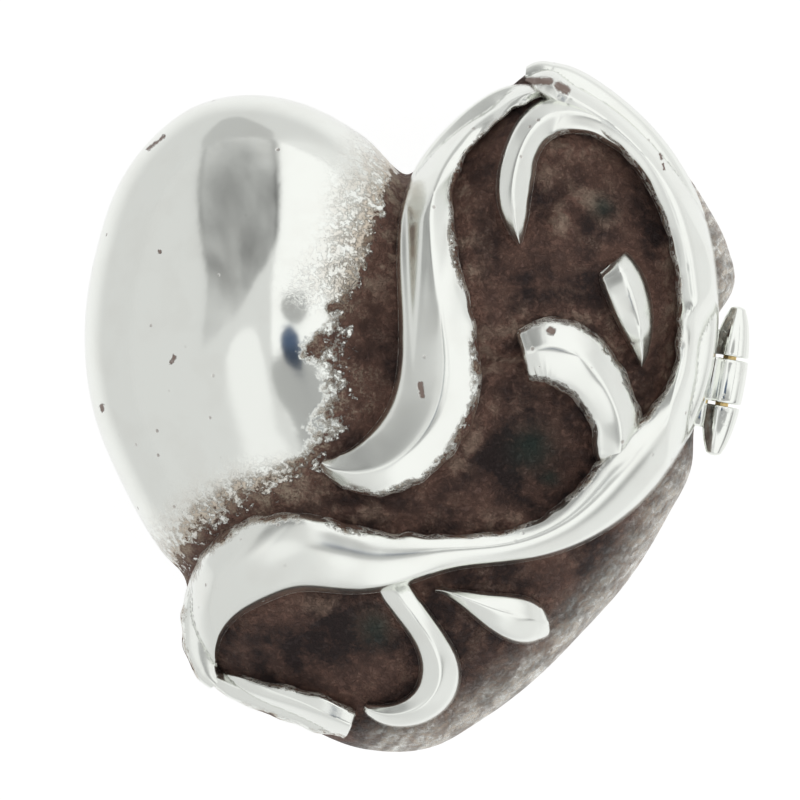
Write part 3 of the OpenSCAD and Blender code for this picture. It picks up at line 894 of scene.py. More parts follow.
    def _wear(self, x: Array, y: Array, share: Array) -> Array:
        """Return how far the oxide has worn off along the flanks.

        Args:
            x: Places across.
            y: Places along.
            share: Shares of the rim's radius.

        Returns:
            Amounts from 0 to 1.
        """
        lower_side = smooth_step(x - 0.55 * y, 10.0, 16.0) * smooth_step(-y, 2.0, 8.0)
        right_side = smooth_step(x, 18.0, 22.0) * smooth_step(y, -6.0, 2.0)
        wear = smooth_step(share, 0.84, 1.0) * lower_side
        return np.maximum(wear, smooth_step(share, 0.90, 0.97) * right_side)

    def _relief(self, x: Array, y: Array, oxide: Array, share: Array) -> Array:
        """Return how far the rough ground lies over or under the smooth form.

        Args:
            x: Places across.
            y: Places along.
            oxide: Amounts of oxide.
            share: Shares of the rim's radius.

        Returns:
            Heights in millimetres.
        """
        ground = smooth_step(oxide, 0.5, 1.0) * (1.0 - smooth_step(share, 0.90, 0.96))
        depth = sum(spot[4] * hill(x, y, spot) for spot in self.lumps) - self.ground_sink
        depth = depth - sum(spot[4] * hill(x, y, spot) for spot in self.bowls)
        return ground * (depth + 0.10 * ripple(x, y, 2.3, 3.1) + 0.07 * ripple(x, y, 5.1, 1.7))

    def lid(self) -> Any:
        """Return the lid's shell, with its rough ground, its patina, painted shade in its bowls and painted
        light on its lumps.

        Returns:
            The finished piece.
        """
        heart = self.heart
        piece = Piece("lid_skin", Body.LID, Slot.POLISHED)
        x, y, share, cosine, inner = self._plan(piece.ball(self.around, self.along))
        oxide = self._oxide(x, y)
        rise = np.where(inner, heart.lid_rise - heart.wall, heart.lid_rise)
        uneven = 0.05 * ripple(x, y, 0.4, 17.0) * (1.0 - share**6) + self._relief(x, y, oxide, share)
        piece.settle(x, y, heart.lid_z0 + rise * cosine * heart.swell(x, y) + uneven * ~inner)
        green = [bell(np.hypot(x - at_x, y - at_y) / reach) for at_x, at_y, reach in self.green_spots]
        skin = piece.finish(
            self.silver, self.sharp_deg,
            # Painted shade: the bowls' oxide is raised so that they render darker than the ground round them.
            oxide=np.where(inner, 0.02, oxide * (1.0 + self._painted_bowl_shade(x, y))),
            wear=self._wear(x, y, share) * ~inner,
            deep=self._crevice(x, y) * ~inner,
            green=np.max(green, axis=0) * ~inner,
            outer=1.0 - inner,
            # Pale tarnish beside the lobe and along the scrolls, plus painted light on the tops of the lumps.
            cream=self._cream(x, y) * ~inner,
        )
        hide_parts("lid_shell")
        return skin

    def base(self) -> Any:
        """Return the base's shell, a bowl cut flat by its foot and dull at its edges.

        Returns:
            The finished piece.
        """
        heart = self.heart
        piece = Piece("base_skin", Body.BASE, Slot.POLISHED)
        ball = piece.ball(self.around, self.along)
        x, y, share, cosine, inner = self._plan(ball * (1.0, 1.0, -1.0))
        depth = np.where(inner, heart.bowl_d - heart.wall, heart.bowl_d) * cosine
        floor = np.where(inner, heart.base_h - heart.wall, heart.base_h)
        piece.settle(x, y, heart.seam_z - np.minimum(depth, floor))
        dull = 0.3 * smooth_step(depth / floor, 0.86, 1.0) + 0.14 * smooth_step(share, 0.985, 1.0)
        skin = piece.finish(self.silver, self.sharp_deg, oxide=np.where(inner, 0.03, dull))
        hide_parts("base_shell")
        return skin


# Scrollwork


@dataclass(frozen=True)
class Scroll:
    """A strip of scrollwork: a ball drawn out along stations on the lid.

    Each station is (x, y, width, height) in millimetres. Places across the strip run
    from -1 to 1, and places along it from 0 to 1. The section falls by the facet's share
    from its crest to its shoulders. Both ragged values say how rough an edge is.
    """

    name: str
    nodes: tuple
    stations: tuple
    crest: float = 0.0
    facet: float = 0.42
    facet_end: float = 0.42
    shoulder: float = 12.0
    crest_ease: float = 0.1
    ragged: tuple = (0.0, 0.0)
    round_start: float = 0.0
    round_end: float = 0.0
    sink: float = 0.6
    level: float = 0.0
    ease: float = 0.9
    around: int = 72
    along: int = 168
    seed: float = 0.0
    top_share: float = 0.75
    sharp_deg: float = 34.0

    def _path(self, s: Array) -> Array:
        """Return the stations' curve with its bends eased.

        Args:
            s: Places along the strip.

        Returns:
            Rows of x, y, width and height.
        """
        reach = np.minimum(self.ease / (len(self.stations) - 1), np.minimum(s, 1.0 - s))
        total = 2.0 * self._curve(s)
        for way in (-1.0, -0.5, 0.5, 1.0):
            total = total + self._curve(s + way * reach)
        return total / 6.0

    def _curve(self, s: Array) -> Array:
        """Return the cubic curve through the stations.

        Args:
            s: Places along the strip.

        Returns:
            Rows of x, y, width and height.
        """
        p = np.array(self.stations, float)
        last = len(p) - 1
        u = np.clip(s, 0.0, 1.0) * last
        i = np.minimum(u.astype(int), last - 1)
        f = (u - i)[:, None]
        a, b = p[np.maximum(i - 1, 0)], p[i]
        c, d = p[i + 1], p[np.minimum(i + 2, last)]
        cubic = (3 * b - a - 3 * c + d) * f**3
        return 0.5 * (2 * b + (c - a) * f + (2 * a - 5 * b + 4 * c - d) * f**2 + cubic)

    def _narrow(self, s: Array) -> Array:
        """Return the share of the width that rounded ends leave.

        Args:
            s: Places along the strip.

        Returns:
            Shares from 0 to 1.
        """
        keep = np.ones_like(s)
        for length, run in ((self.round_start, s), (self.round_end, 1.0 - s)):
            if length > 0.0:
                away = np.clip(run / length, 0.0, 1.0)
                keep = keep * np.sqrt(np.clip(1.0 - (1.0 - away) ** 2, 0.0, 1.0))
        return keep

    def _crown(self, t: Array, s: Array) -> Array:
        """Return the height share of the section: two facets that meet at an eased crest.

        Args:
            t: Places across the strip.
            s: Places along the strip.

        Returns:
            Shares of the strip's height.
        """
        reach = np.where(t < self.crest, 1.0 + self.crest, 1.0 - self.crest)
        u = np.abs(t - self.crest) / reach
        ease = self.crest_ease
        eased = (np.sqrt(u * u + ease * ease) - ease) / (math.sqrt(1.0 + ease * ease) - ease)
        facet = self.facet + (self.facet_end - self.facet) * smooth_step(s, 0.5, 0.7)
        return 1.0 - facet * eased - (1.0 - facet) * u**self.shoulder

    def footprint(self) -> list:
        """Return circles (x, y, radius) that cover the strip.

        Returns:
            A list of them, in millimetres.
        """
        s = np.linspace(0.0, 1.0, 8 * len(self.stations))
        at = self._path(s)
        return list(zip(at[:, 0], at[:, 1], at[:, 2] / 2 * self._narrow(s)))

    def _section(self, ball: Array) -> tuple:
        """Return where a ball's vertices lie in the strip.

        Args:
            ball: Vertices of a ball of radius 1 that stands on its pole.

        Returns:
            Places across and along, whether each vertex is on the upper
            side, and whether it is a pole.
        """
        s = np.arccos(np.clip(ball[:, 2], -1.0, 1.0)) / math.pi
        turn = np.mod(np.arctan2(ball[:, 1], ball[:, 0]) / (2 * math.pi), 1.0)
        over = turn <= self.top_share + 1e-6
        t = -np.cos(math.pi * np.where(over, turn / self.top_share, (1.0 - turn) / (1.0 - self.top_share)))
        t = np.where(over, np.sign(t) * np.abs(t) ** 0.9, t)
        pole = (s < 1e-6) | (s > 1 - 1e-6)
        return np.where(pole, 0.0, t), s, over, pole

    def build(self, heart: Heart, silver: Any) -> Any:
        """Return the strip.

        Args:
            heart: The form that it lies on.
            silver: Its material.

        Returns:
            The finished object.
        """
        piece = Piece(self.name, Body.LID, Slot.SCROLL)
        t, s, over, pole = self._section(piece.ball(self.around, self.along))
        at, narrow, small = self._path(s), self._narrow(s), 1e-3
        ahead = self._path(np.minimum(s + small, 1.0)) - self._path(np.maximum(s - small, 0.0))
        length = np.maximum(np.hypot(ahead[:, 0], ahead[:, 1]), 1e-9)
        side_x, side_y = -ahead[:, 1] / length, ahead[:, 0] / length
        half = at[:, 2] / 2 * narrow
        x, y = at[:, 0] + side_x * half * t, at[:, 1] + side_y * half * t
        rough = np.where(t > 0, self.ragged[1], self.ragged[0]) * smooth_step(np.abs(t), 0.6, 1.0)
        bite = 0.22 * rough * np.sign(t) * ripple(x, y, self.seed, 1.9) * np.minimum(1.0, half)
        x, y = x + side_x * bite, y + side_y * bite
        shape = np.where(pole, 0.5, np.where(over, self._crown(t, s), 0.0))
        tall = at[:, 3] * heart.steep(x, y) * (0.55 + 0.45 * narrow) + self.sink
        ground = heart.lid_top(x, y)
        lift = self.level * np.maximum(0.0, heart.lid_top(at[:, 0], at[:, 1]) - ground)
        uneven = 0.03 * ripple(x, y, self.seed + 1.0, 7.0) * shape
        piece.settle(x, y, ground - self.sink + (tall + lift) * shape + uneven)
        foot = 1.0 - smooth_step(shape * tall - self.sink, -0.3, 0.1)
        foot = foot * (1.0 - smooth_step(heart.rho(x, y), 0.93, 0.97))
        foot = np.maximum(foot, rough * (0.6 + 0.4 * ripple(x, y, self.seed, 4.0)))
        layers = {"oxide": np.where(over, foot * 0.95, 1.0), "outer": np.ones_like(x)}
        strip = piece.finish(silver, self.sharp_deg, **layers)
        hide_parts(*self.nodes)
        return strip


@dataclass
class Scrollwork:
    """All the raised ornament of the lid."""

    heart: Heart
    silver: Any
    strips: tuple = (
        Scroll("s_scroll_skin", ("s_scroll",), (
            (12.9, 28.0, 0.3, 0.6), (10.9, 28.1, 1.3, 1.2), (9.2, 27.7, 2.4, 1.5), (6.9, 26.6, 2.7, 1.7),
            (4.0, 24.0, 2.9, 1.9), (1.9, 20.8, 3.9, 2.3), (0.9, 17.5, 4.8, 2.6), (1.0, 12.8, 5.7, 2.8),
            (1.9, 7.6, 6.8, 3.0), (2.4, 2.6, 8.0, 3.2), (1.6, -1.2, 7.8, 3.2), (-0.6, -4.4, 7.2, 3.0),
            (-3.6, -6.2, 6.0, 2.6), (-6.6, -6.5, 3.4, 2.0), (-8.5, -5.6, 0.7, 1.2),
        ), crest=0.12, facet=0.5, facet_end=0.45, shoulder=26.0, level=0.4, ragged=(0.0, 0.6), seed=0.3),
        Scroll("band_skin", ("outer_scroll", "tip_wave"), (
            (10.0, 29.6, 1.4, 1.3), (12.3, 29.3, 4.0, 1.9), (14.9, 27.5, 4.6, 2.3), (19.1, 25.1, 3.7, 2.3),
            (22.3, 21.2, 3.9, 2.4), (24.5, 16.8, 4.0, 2.4), (25.6, 11.8, 4.2, 2.4), (25.8, 6.4, 3.7, 2.4),
            (25.2, 2.0, 3.8, 2.4), (23.3, -2.4, 4.2, 2.6), (20.0, -5.7, 6.2, 2.9), (17.5, -8.8, 5.5, 2.9),
            (13.6, -11.9, 4.2, 2.6), (9.0, -13.4, 3.1, 2.3), (4.6, -13.7, 3.0, 2.2), (1.1, -13.9, 3.9, 2.4),
            (-3.4, -15.0, 6.0, 2.8), (-7.3, -14.2, 6.6, 3.1), (-10.9, -13.5, 7.4, 3.4),
            (-14.4, -14.4, 8.0, 3.4), (-17.2, -16.4, 7.2, 3.0), (-18.9, -19.1, 5.0, 2.4),
            (-19.5, -21.8, 3.4, 1.8), (-19.3, -24.2, 2.6, 1.5), (-18.0, -25.8, 1.4, 1.1),
        ), crest=-0.1, facet=0.36, facet_end=0.2, crest_ease=0.45, ragged=(0.5, 0.0), seed=0.9,
            along=420, around=80),
        Scroll("crest_curl_skin", ("crest_curl",), (
            (23.2, 15.2, 0.5, 1.2), (22.5, 17.9, 1.5, 1.5), (21.6, 20.3, 2.0, 1.7), (20.3, 22.5, 2.3, 1.9),
            (18.3, 24.5, 2.8, 2.1), (15.4, 26.1, 3.6, 2.2), (12.5, 26.0, 3.9, 2.3), (10.7, 24.6, 3.5, 2.3),
            (9.7, 22.7, 3.3, 2.3), (9.1, 20.6, 3.5, 2.3), (8.9, 18.2, 3.5, 2.2), (9.1, 15.9, 2.3, 1.9),
            (9.5, 14.1, 0.4, 0.9),
        ), crest=-0.1, ragged=(0.0, 0.2), along=260, seed=1.4),
        Scroll("branch_skin", ("branch_scroll",), (
            (9.7, 3.9, 4.6, 1.2), (10.4, 4.1, 5.4, 2.0), (11.6, 4.5, 6.3, 2.3), (13.6, 4.4, 6.6, 2.6),
            (15.7, 2.8, 6.0, 2.7), (17.2, 0.6, 5.2, 2.7), (18.3, -1.7, 4.9, 2.6), (18.6, -4.6, 5.0, 2.5),
            (17.6, -7.2, 3.0, 1.6),
        ), crest=0.1, ragged=(0.4, 0.4), round_start=0.03, round_end=0.1, seed=2.2),
        Scroll("upper_leaf_skin", ("upper_leaf",), (
            (17.8, 12.4, 3.3, 0.6), (18.5, 11.5, 4.1, 2.0), (19.3, 9.6, 4.3, 2.2), (20.0, 7.2, 3.6, 2.0),
            (20.5, 4.9, 2.1, 1.5), (20.5, 3.0, 0.3, 0.8),
        ), crest=0.15, seed=2.9),
        Scroll("lower_leaf_skin", ("lower_leaf",), (
            (1.8, -17.2, 0.4, 0.8), (3.5, -17.5, 1.0, 1.2), (5.5, -18.5, 2.4, 1.6), (7.5, -19.3, 4.0, 2.0),
            (9.6, -20.0, 4.9, 2.2), (11.2, -20.3, 3.8, 1.9), (12.2, -20.2, 2.0, 1.3),
        ), crest=0.1, round_end=0.06, seed=3.7),
        Scroll("tip_curl_skin", ("tip_curl",), (
            (-2.2, -16.4, 2.9, 0.2), (-1.2, -18.3, 3.0, 1.4), (0.4, -20.1, 3.0, 2.1), (1.5, -22.0, 3.1, 2.2),
            (2.5, -24.1, 4.1, 2.3), (2.1, -26.4, 4.0, 2.3), (0.5, -28.1, 3.2, 2.1), (-2.0, -28.8, 2.4, 1.8),
            (-3.8, -28.3, 1.6, 1.4), (-4.6, -27.8, 0.6, 0.9),
        ), seed=4.1),
        Scroll("tip_band_skin", ("tip_band",), (
            (-18.4, -25.0, 1.2, 1.0), (-17.2, -25.8, 2.2, 1.4), (-15.0, -26.5, 2.7, 1.7),
            (-12.4, -27.4, 2.9, 1.8), (-9.2, -28.2, 3.9, 1.9), (-7.2, -29.0, 3.4, 1.9),
            (-5.7, -29.6, 2.8, 1.7),
        ), ragged=(0.5, 0.5), round_end=0.04, seed=4.8),
    )

    def build(self) -> None:
        """Make every strip."""
        for strip in self.strips:
            strip.build(self.heart, self.silver)


# Hinge


@dataclass
class Hinge:
    """The ovoid three-knuckle hinge on the right flank.

    Corners of the web are (out from the pin's axis, up from the seam).
    """

    heart: Heart
    silver: Any
    at: tuple = (28.3191, 1.7411)
    out: tuple = (0.98529, -0.17092)
    middle_r: float = 26.33
    barrel_r: float = 1.8
    barrel_l: float = 13.0
    taper: float = 0.42
    knuckle_l: float = 4.0
    knuckle_gap: float = 0.3
    base_bore: float = 0.62
    lid_bore: float = 0.65
    cap_share: float = 0.5
    cap_floor: float = 0.08
    wall_x: float = -2.1
    seat: float = 0.15
    leaf_t: float = 0.9
    leaf_l: float = 9.0
    leaf_z0: float = 2.25
    base_leaf_h: float = 3.0
    lid_leaf_h: float = 1.2
    lip: float = 0.16
    web_low: tuple = ((-1.9, 1.05), (-0.4, 1.2))
    web_high: tuple = ((-1.93, 2.7), (-1.15, 2.95))
    turn_steps: int = 64
    oxide: float = 0.04

    def _stand(self, side: float) -> Warp:
        """Return the move from hinge places (out, along, up) to the heart.

        Args:
            side: 1 for the lid's half and -1 for the base's.

        Returns:
            The move.
        """

        def move(p: Array) -> Array:
            """Return places on the heart."""
            x = self.at[0] + p[:, 0] * self.out[0] - p[:, 1] * self.out[1]
            y = self.at[1] + p[:, 0] * self.out[1] + p[:, 1] * self.out[0]
            return np.stack([x, y, self.heart.seam_z + side * p[:, 2]], axis=1)

        return move

    def _radius(self, t: float) -> float:
        """Return the barrel's radius at a place along it."""
        s = 2 * t / self.barrel_l
        return self.barrel_r * math.sqrt(1 - (1 - self.taper**2) * s * s)

    def _knuckle(self, piece: Piece, start: float, end: float, bore: float, blind: bool) -> None:
        """Add one knuckle, along the axis from start to end.

        Args:
            piece: The piece that it belongs to.
            start: Place of its inner face.
            end: Place of its outer face, or where its round cap begins.
            bore: Radius of its hole.
            blind: Whether a cap hides the pin.
        """
        way, lip, cap = math.copysign(1.0, end - start), self.lip, self._radius(end)
        first, last = start + way * lip, end - (0.0 if blind else way * lip)
        inner = self._radius(start) - lip
        profile = [(start, bore), (start, inner)]
        for turn in (math.pi / 6, math.pi / 3):
            profile.append((first - way * lip * math.cos(turn), inner + lip * math.sin(turn)))
        profile += [(t, self._radius(t)) for t in np.linspace(first, last, 14)]
        if blind:
            for turn in np.linspace(0.0, math.pi / 2, 8)[1:-1]:
                profile.append((end + way * self.cap_share * cap * math.sin(turn), cap * math.cos(turn)))
            tip, plug = end + way * self.cap_share * cap, end + way * self.cap_floor
            profile += [(tip, 0.0), (plug, 0.0), (plug, bore)]
        else:
            for turn in (math.pi / 6, math.pi / 3, math.pi / 2):
                profile.append((last + way * lip * math.sin(turn), cap - lip + lip * math.cos(turn)))
            profile.append((end, bore))
        stand = self._stand(1.0)
        piece.turned(profile, self.turn_steps, lambda p: stand(p[:, [1, 0, 2]]))

    def _wall_in(self, height: Array, full: float) -> Array:
        """Return how far the flank lies in at a height from the seam."""
        share = np.minimum(0.9, height / full)
        return self.middle_r * (1 - (1 - share * share) ** (1 / self.heart.puff))

    def _leaf(self, piece: Piece, side: float, lift: float, full: float, high: float) -> None:
        """Add the leaf that lies on the flank.

        Args:
            piece: The piece that it belongs to.
            side: 1 for the lid and -1 for the base.
            lift: Extra height over the seam.
            full: Height of the profile that it follows.
            high: Height of the leaf.
        """

        def move(p: Array) -> Array:
            """Return the leaf's places."""
            height = self.leaf_z0 + high * (p[:, 2] + 0.5)
            out = self.wall_x + self.seat + self.leaf_t * (p[:, 0] + 0.5) - self._wall_in(height, full)
            return self._stand(side)(np.stack([out, p[:, 1] * self.leaf_l, height + lift], axis=1))

        piece.block(7, 0.1, move)

    def _web(self, piece: Piece, side: float, start: float, end: float) -> None:
        """Add the web from the leaf to a knuckle.

        Args:
            piece: The piece that it belongs to.
            side: 1 for the lid and -1 for the base.
            start: Where it begins along the axis.
            end: Where it ends along the axis.
        """
        low, high = np.array(self.web_low), np.array(self.web_high)

        def move(p: Array) -> Array:
            """Return the web's places."""
            s, h = (p[:, 0] + 0.5)[:, None], (p[:, 2] + 0.5)[:, None]
            flat = (low[0] * (1 - s) + low[1] * s) * (1 - h) + (high[0] * (1 - s) + high[1] * s) * h
            along = start + (end - start) * (p[:, 1] + 0.5)
            return self._stand(side)(np.stack([flat[:, 0], along, flat[:, 1]], axis=1))

        piece.block(3, 0.06, move)

    def _finish(self, piece: Piece, node: str) -> None:
        """Finish one half and put it in the node's place."""
        half = piece.finish(self.silver, 50.0, oxide=np.full(len(piece.bm.verts), self.oxide))
        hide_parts(node)

    def build(self) -> None:
        """Make both halves: the base's two outer knuckles and the lid's middle one."""
        start, end = self.knuckle_l / 2 + self.knuckle_gap, self.barrel_l / 2
        base = Piece("hinge_base_skin", Body.BASE, Slot.POLISHED)
        for way in (-1.0, 1.0):
            self._knuckle(base, way * start, way * end, self.base_bore, True)
            self._web(base, -1.0, way * start, way * self.leaf_l / 2)
        self._leaf(base, -1.0, 0.0, self.heart.bowl_d, self.base_leaf_h)
        self._finish(base, "hinge_base")
        lid = Piece("hinge_lid_skin", Body.LID, Slot.POLISHED)
        self._knuckle(lid, -self.knuckle_l / 2, self.knuckle_l / 2, self.lid_bore, False)
        self._web(lid, 1.0, -self.knuckle_l / 2, self.knuckle_l / 2)
        self._leaf(lid, 1.0, self.heart.seam_gap, self.heart.lid_rise, self.lid_leaf_h)
        self._finish(lid, "hinge_lid")


# Lining


@dataclass
class Lining:
    """Velvet cushion of the base, velvet panel of the lid and felt sole."""

    heart: Heart
    velvet: Any
    felt: Any
    gap: float = 0.35
    cushion_t: float = 2.6
    cushion_crown: float = 1.0
    cushion_inset: float = 1.96
    panel_t: float = 1.2
    panel_share: float = 0.81
    felt_share: float = 0.5567
    seam_width: float = 4.0
    gather_at: float = 75.0
    gather_reach: float = 16.0

    def _start(self, piece: Piece, around: int = 360, along: int = 96) -> tuple:
        """Start a piece from a ball.

        Args:
            piece: The empty piece.
            around: Steps round the ball.
            along: Steps from pole to pole.

        Returns:
            Angles round the middle, degrees from the upper pole, and heights from -1 to 1.
        """
        ball = piece.ball(around, along)
        up = np.clip(ball[:, 2], -1, 1)
        return np.arctan2(ball[:, 1], ball[:, 0]), np.degrees(np.arccos(up)), up

    def _bowl_share(self, z: Array) -> Array:
        """Return the share of the inner rim that the bowl has at a height."""
        deep = np.minimum(0.99, (self.heart.seam_z - z) / (self.heart.bowl_d - self.heart.wall))
        return (1 - deep * deep) ** (1 / self.heart.puff)

    def _edge(self, polar: Array) -> Array:
        """Return 1 where gathers are deepest and less away from it."""
        return bell((polar - self.gather_at) / self.gather_reach)

    def _puckers(self, turn: Array, polar: Array) -> Array:
        """Return the gathers that run in from the sewn edge, from -1 to 1."""
        waves = np.sin(23 * turn + 1.3) + 0.8 * np.sin(37 * turn + 0.4) + 0.6 * np.sin(59 * turn)
        return waves / 2.4 * self._edge(polar)

    def cushion(self) -> Any:
        """Return the cushion in the base: a crown drawn in at its sewn edge.

        Returns:
            The finished piece.
        """
        heart = self.heart
        piece = Piece("cushion_velvet", Body.BASE, Slot.VELVET)
        turn, polar, up = self._start(piece)
        low = heart.felt_t + heart.wall + self.gap
        middle = low + 0.85 * self.cushion_t
        top = low + self.cushion_t + self.cushion_crown
        z = middle + np.where(up > 0, (top - middle) * np.abs(up) ** 0.8, (low - middle) * np.abs(up) ** 0.35)
        share = (self._bowl_share(np.minimum(z, middle)) - 0.02) * np.sin(np.radians(polar)) ** 0.45
        share = share - 0.012 * bell((polar - 90.0) / self.seam_width)
        size = heart.rim.inset(np.degrees(turn), self.cushion_inset) * share
        x, y = size * np.cos(turn), size * np.sin(turn)
        z = z - 0.10 * (1 + self._puckers(turn, polar)) * self._edge(polar) * (up >= 0)
        piece.settle(x, y, z - 0.07 * (1 + ripple(x, y, 1.7, 9.0)) * (up > 0.2))
        cushion = piece.finish(self.velvet, 180.0)
        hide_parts("base_cushion")
        return cushion

    def panel(self) -> Any:
        """Return the panel in the lid: a thin pad that follows the roof.

        Returns:
            The finished piece.
        """
        heart = self.heart
        piece = Piece("panel_velvet", Body.LID, Slot.VELVET)
        turn, polar, up = self._start(piece)
        seam = bell((polar - 90.0) / self.seam_width)
        share = self.panel_share * np.abs(np.sin(np.radians(polar))) ** 0.7 * (1 - 0.007 * seam)
        size = heart.rim.inset(np.degrees(turn), heart.wall) * share
        x, y = size * np.cos(turn), size * np.sin(turn)
        roof = heart.lid_z0 + (heart.lid_rise - heart.wall) * heart.puffed(share) * heart.swell(x, y)
        body = np.sign(up) * np.abs(up) ** 0.5 * (self.panel_t / 2 - 0.03)
        gathers = 0.06 * self._puckers(turn, 180.0 - polar) * (up < 0)
        soft = 0.05 * (1 + ripple(x, y, 0.9, 8.0)) * (up < -0.2)
        piece.settle(x, y, roof - self.gap - self.panel_t / 2 + body + gathers + soft)
        panel = piece.finish(self.velvet, 180.0)
        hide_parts("lid_panel")
        return panel

    def sole(self) -> Any:
        """Return the felt under the foot.

        Returns:
            The finished piece.
        """
        heart = self.heart
        piece = Piece("sole_felt_sheet", Body.BASE, Slot.FELT)
        turn, _, up = self._start(piece, 240, 48)
        size = heart.rim.radius(np.degrees(turn)) * self.felt_share * (1 - np.abs(up) ** 5)
        x, y = size * np.cos(turn), size * np.sin(turn)
        fuzz = 1 + 0.002 * ripple(x, y, 3.3, 1.1) * (np.abs(up) < 0.4)
        piece.settle(x * fuzz, y * fuzz, heart.felt_t / 2 * (1 + np.sign(up) * np.abs(up) ** 0.25))
        sole = piece.finish(self.felt, 60.0)
        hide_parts("sole_felt")
        turns = np.linspace(0.0, 2 * math.pi, 721)[:-1]
        cut = heart.rim.radius(np.degrees(turns)) * self.felt_share * MM
        return sole

    def build(self) -> None:
        """Make all three."""
        self.cushion()
        self.panel()
        self.sole()


# Stage


@dataclass
class Studio:
    """Floor, light and camera.

    Spots of the sky are (x, y, reach across, reach along) in parts of a direction.
    """

    pixels: float = 800.0
    px_per_mm: float = 11.0
    middle_px: float = 415.0
    camera_z: float = 2.0
    sharp_z: float = 0.018
    sensor: float = 36.0
    floor_size: float = 6.0
    floor_grey: float = 0.30
    floor_seen: float = 0.82
    floor_mirrored: float = 0.48
    tent: float = 0.74
    dim: float = 0.44
    blob: tuple = (0.21, -0.28, 0.43, 0.19)
    wedge: tuple = (0.16, 0.16, 0.19, 0.14)
    lens: tuple = (0.08, -0.10, 0.12, 0.115)
    lamp: tuple = (-0.50, -0.30, 0.26, 0.32)
    lens_tint: tuple = (0.05, 0.085, 0.16)
    cloth_lean: float = 0.185
    cloth_edge: tuple = (-0.005, 0.055)
    stray: float = 0.10

    def camera(self) -> None:
        """Make the camera, straight above the lid."""
        data = bpy.data.cameras.new("camera")
        data.sensor_width = self.sensor
        width = self.pixels / self.px_per_mm * MM
        data.lens = self.sensor * (self.camera_z - self.sharp_z) / width
        data.clip_end = 20.0
        camera = bpy.data.objects.new("camera", data)
        camera.location = ((self.pixels / 2 - self.middle_px) / self.px_per_mm * MM, 0.0, self.camera_z)
        bpy.context.scene.collection.objects.link(camera)
        bpy.context.scene.camera = camera

    def floor(self) -> None:
        """Make the pale floor, which shows white to the camera and, to the metal, grey with a painted pool of
        light near the box and a painted shade up and to the left.
        """
        bm = bmesh.new()
        bmesh.ops.create_grid(bm, x_segments=1, y_segments=1, size=self.floor_size / 2)
        mesh = bpy.data.meshes.new("floor")
        bm.to_mesh(mesh)
        bm.free()
        material, kit = new_material("floor")
        x, y, _ = kit.split(kit.place())
        # Painted light and shade that only reflections see: a pool of light round the box and to its right,
        # and the cloth's painted shade up and to the left, which the left lobe mirrors.
        near = (x * x + y * y).power(0.5).ramp(0.038, 0.07, 1.0, 0.0)
        bright = (near + x.ramp(0.0, 0.04) * 0.55).clamp()
        sides = (0.0 - x).ramp(0.007, 0.012) * (0.158 * y - x).ramp(0.0345, 0.0375)
        sides = sides * (x + 0.85 * y).ramp(0.030, 0.035) * (x + 0.71 * y).ramp(0.002, 0.009)
        mirrored = self.floor_mirrored + bright * 0.26 - y.ramp(0.072, 0.079) * sides * 0.18
        bounced = (kit.ray("Glossy") + kit.ray("Transmission")).clamp()
        seen = kit.ray("Camera") * self.floor_seen + bounced * mirrored
        grey = (self.floor_grey, self.floor_grey, self.floor_grey, 1.0)
        plain = kit.add("ShaderNodeBsdfDiffuse", {}, {"Color": grey})
        glow = kit.add("ShaderNodeEmission", {}, {"Color": (1.0, 1.0, 1.0, 1.0), "Strength": seen})
        both = kit.add("ShaderNodeAddShader", {}, {0: plain, 1: glow})
        kit.add("ShaderNodeOutputMaterial", {}, {"Surface": both})
        mesh.materials.append(material)
        floor = bpy.data.objects.new("floor", mesh)
        bpy.context.scene.collection.objects.link(floor)

    def _patch(self, x: Sock, y: Sock, spot: tuple) -> Sock:
        """Return 1 inside a spot of the sky and 0 outside it."""
        off_x, off_y = (x - spot[0]) * (1.0 / spot[2]), (y - spot[1]) * (1.0 / spot[3])
        return (off_x * off_x + off_y * off_y).ramp(0.75, 1.1, 1.0, 0.0)

    def _cloth(self, x: Sock, y: Sock, z: Sock, across: Sock, waves: Sock) -> Sock:
        """Return the grey cloth at the back of the tent, which the lobe mirrors as a long drop.

        Args:
            x: Part of the direction across.
            y: Part of the direction along.
            z: Part of the direction up.
            across: Place from the cloth's right edge.
            waves: Noise that makes the cloth uneven.

        Returns:
            How much light the cloth takes.
        """
        drift = (waves - 0.5) * self.stray
        left = x + 0.82 * z + 0.59 - z.ramp(-0.05, 0.25) * 0.06 - z.ramp(0.45, 1.0) * 0.715 + drift * 0.5
        low = -0.252 * x + 0.902 * y - 0.349 * z + drift
        tail = -0.796 * x + 0.321 * y - 0.513 * z
        below = low.ramp(-0.03, 0.03) * tail.ramp(-0.10, -0.05) * (low + 1.41 * tail).ramp(0.12, 0.17)
        inside = left.ramp(-0.02, 0.02) * below * (1.0 - across.ramp(*self.cloth_edge))
        rim = (1.0 - left.ramp(0.02, 0.05)) * y.ramp(0.45, 0.6) + across.ramp(-0.03, -0.01) * y.ramp(0.6, 0.7)
        depth = 0.11 + z.ramp(0.0, 0.42) * 0.25 + (waves - 0.5) * 0.7 + rim * 0.24
        return inside * (0.45 + y.ramp(0.1, 0.4) * 0.55) * depth

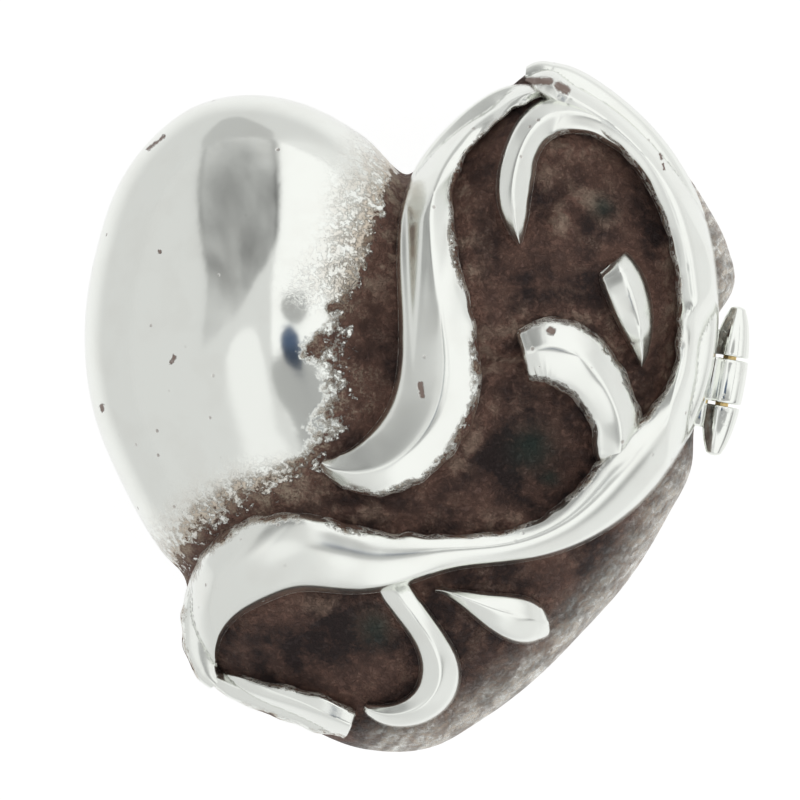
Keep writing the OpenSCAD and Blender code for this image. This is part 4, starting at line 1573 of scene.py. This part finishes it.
    def light(self) -> None:
        """Make the soft surroundings: a pale tent with a cloth, dim spots and a lamp."""
        world = bpy.data.worlds.new("tent")
        world.use_nodes = True
        bpy.context.scene.world = world
        kit = Nodes(world.node_tree)
        direction = kit.add("ShaderNodeTexCoord", {}, {}, "Generated")
        x, y, z = kit.split(direction)
        waves = kit.add("ShaderNodeTexNoise", {}, {"Vector": direction, "Scale": 3.2, "Detail": 3.0}, "Fac")
        drift = (waves - 0.5) * self.stray
        above = z.ramp(0.6, 0.7)
        dim = self._patch(x + drift, y - drift, self.blob) * above
        dim = (dim + self._patch(x - drift, y + drift, self.wedge) * above).clamp()
        lens = self._patch(x, y + drift * 0.5, self.lens) * above
        lamp = self._patch(x + drift, y, self.lamp) * above
        arc = z.ramp(0.675, 0.69) * (1.0 - z.ramp(0.71, 0.725)) * x.ramp(0.58, 0.64)
        low_right = (0.72 * x - 0.69 * y).ramp(0.80, 0.95) * (1.0 - z.ramp(0.1, 0.35))
        across = x + self.cloth_lean * z
        glare = across.ramp(*self.cloth_edge) * (0.30 - x.ramp(0.55, 0.85) * (1.0 - z.ramp(0.2, 0.4)) * 0.26)
        strength = self.tent + glare + lamp * 0.20 - self._cloth(x, y, z, across, waves)
        strength = strength - arc * 0.5 - low_right * 0.45
        strength = strength - dim * (strength - self.dim)
        seen = kit.ray("Camera")
        tint = kit.blend(lens * (1.0 - seen), (1.0, 1.0, 1.0), self.lens_tint)
        level = strength * (1.0 - seen) + seen
        background = kit.add("ShaderNodeBackground", {}, {"Color": tint, "Strength": level})
        kit.add("ShaderNodeOutputWorld", {}, {"Surface": background})

    def build(self) -> None:
        """Make the whole stage."""
        self.camera()
        self.floor()
        self.light()
        bpy.context.scene.view_settings.view_transform = "Standard"


def dress(node: str, material: Any) -> None:
    """Give a CAD node a finish.

    Args:
        node: Name of the node.
        material: Its material.
    """
    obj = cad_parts[node]
    obj.data.materials.clear()
    obj.data.materials.append(material)
    LOG.info("%s: dressed in %s", node, material.name)


def main() -> None:
    """Build and dress every piece in order."""
    logging.basicConfig(level=logging.INFO)
    heart = Heart()
    silver = AgedSilver().make()
    worked = AgedSilver(name="scroll_silver", polish=0.21).make()
    satin = SatinSilver().make()
    brass = Brass().make()
    Studio().build()
    scrollwork = Scrollwork(heart, worked)
    shells = Shells(heart, silver, scrollwork.strips)
    shells.lid()
    shells.base()
    scrollwork.build()
    Hinge(heart, silver).build()
    Lining(heart, Velvet().make(), Felt().make()).build()
    for node in ("base_bezel", "catch_striker"):
        dress(node, satin)
    for node in ("hinge_pin", "catch_spring", "catch_rivets"):
        dress(node, brass)


if __name__ == "__main__":
    main()
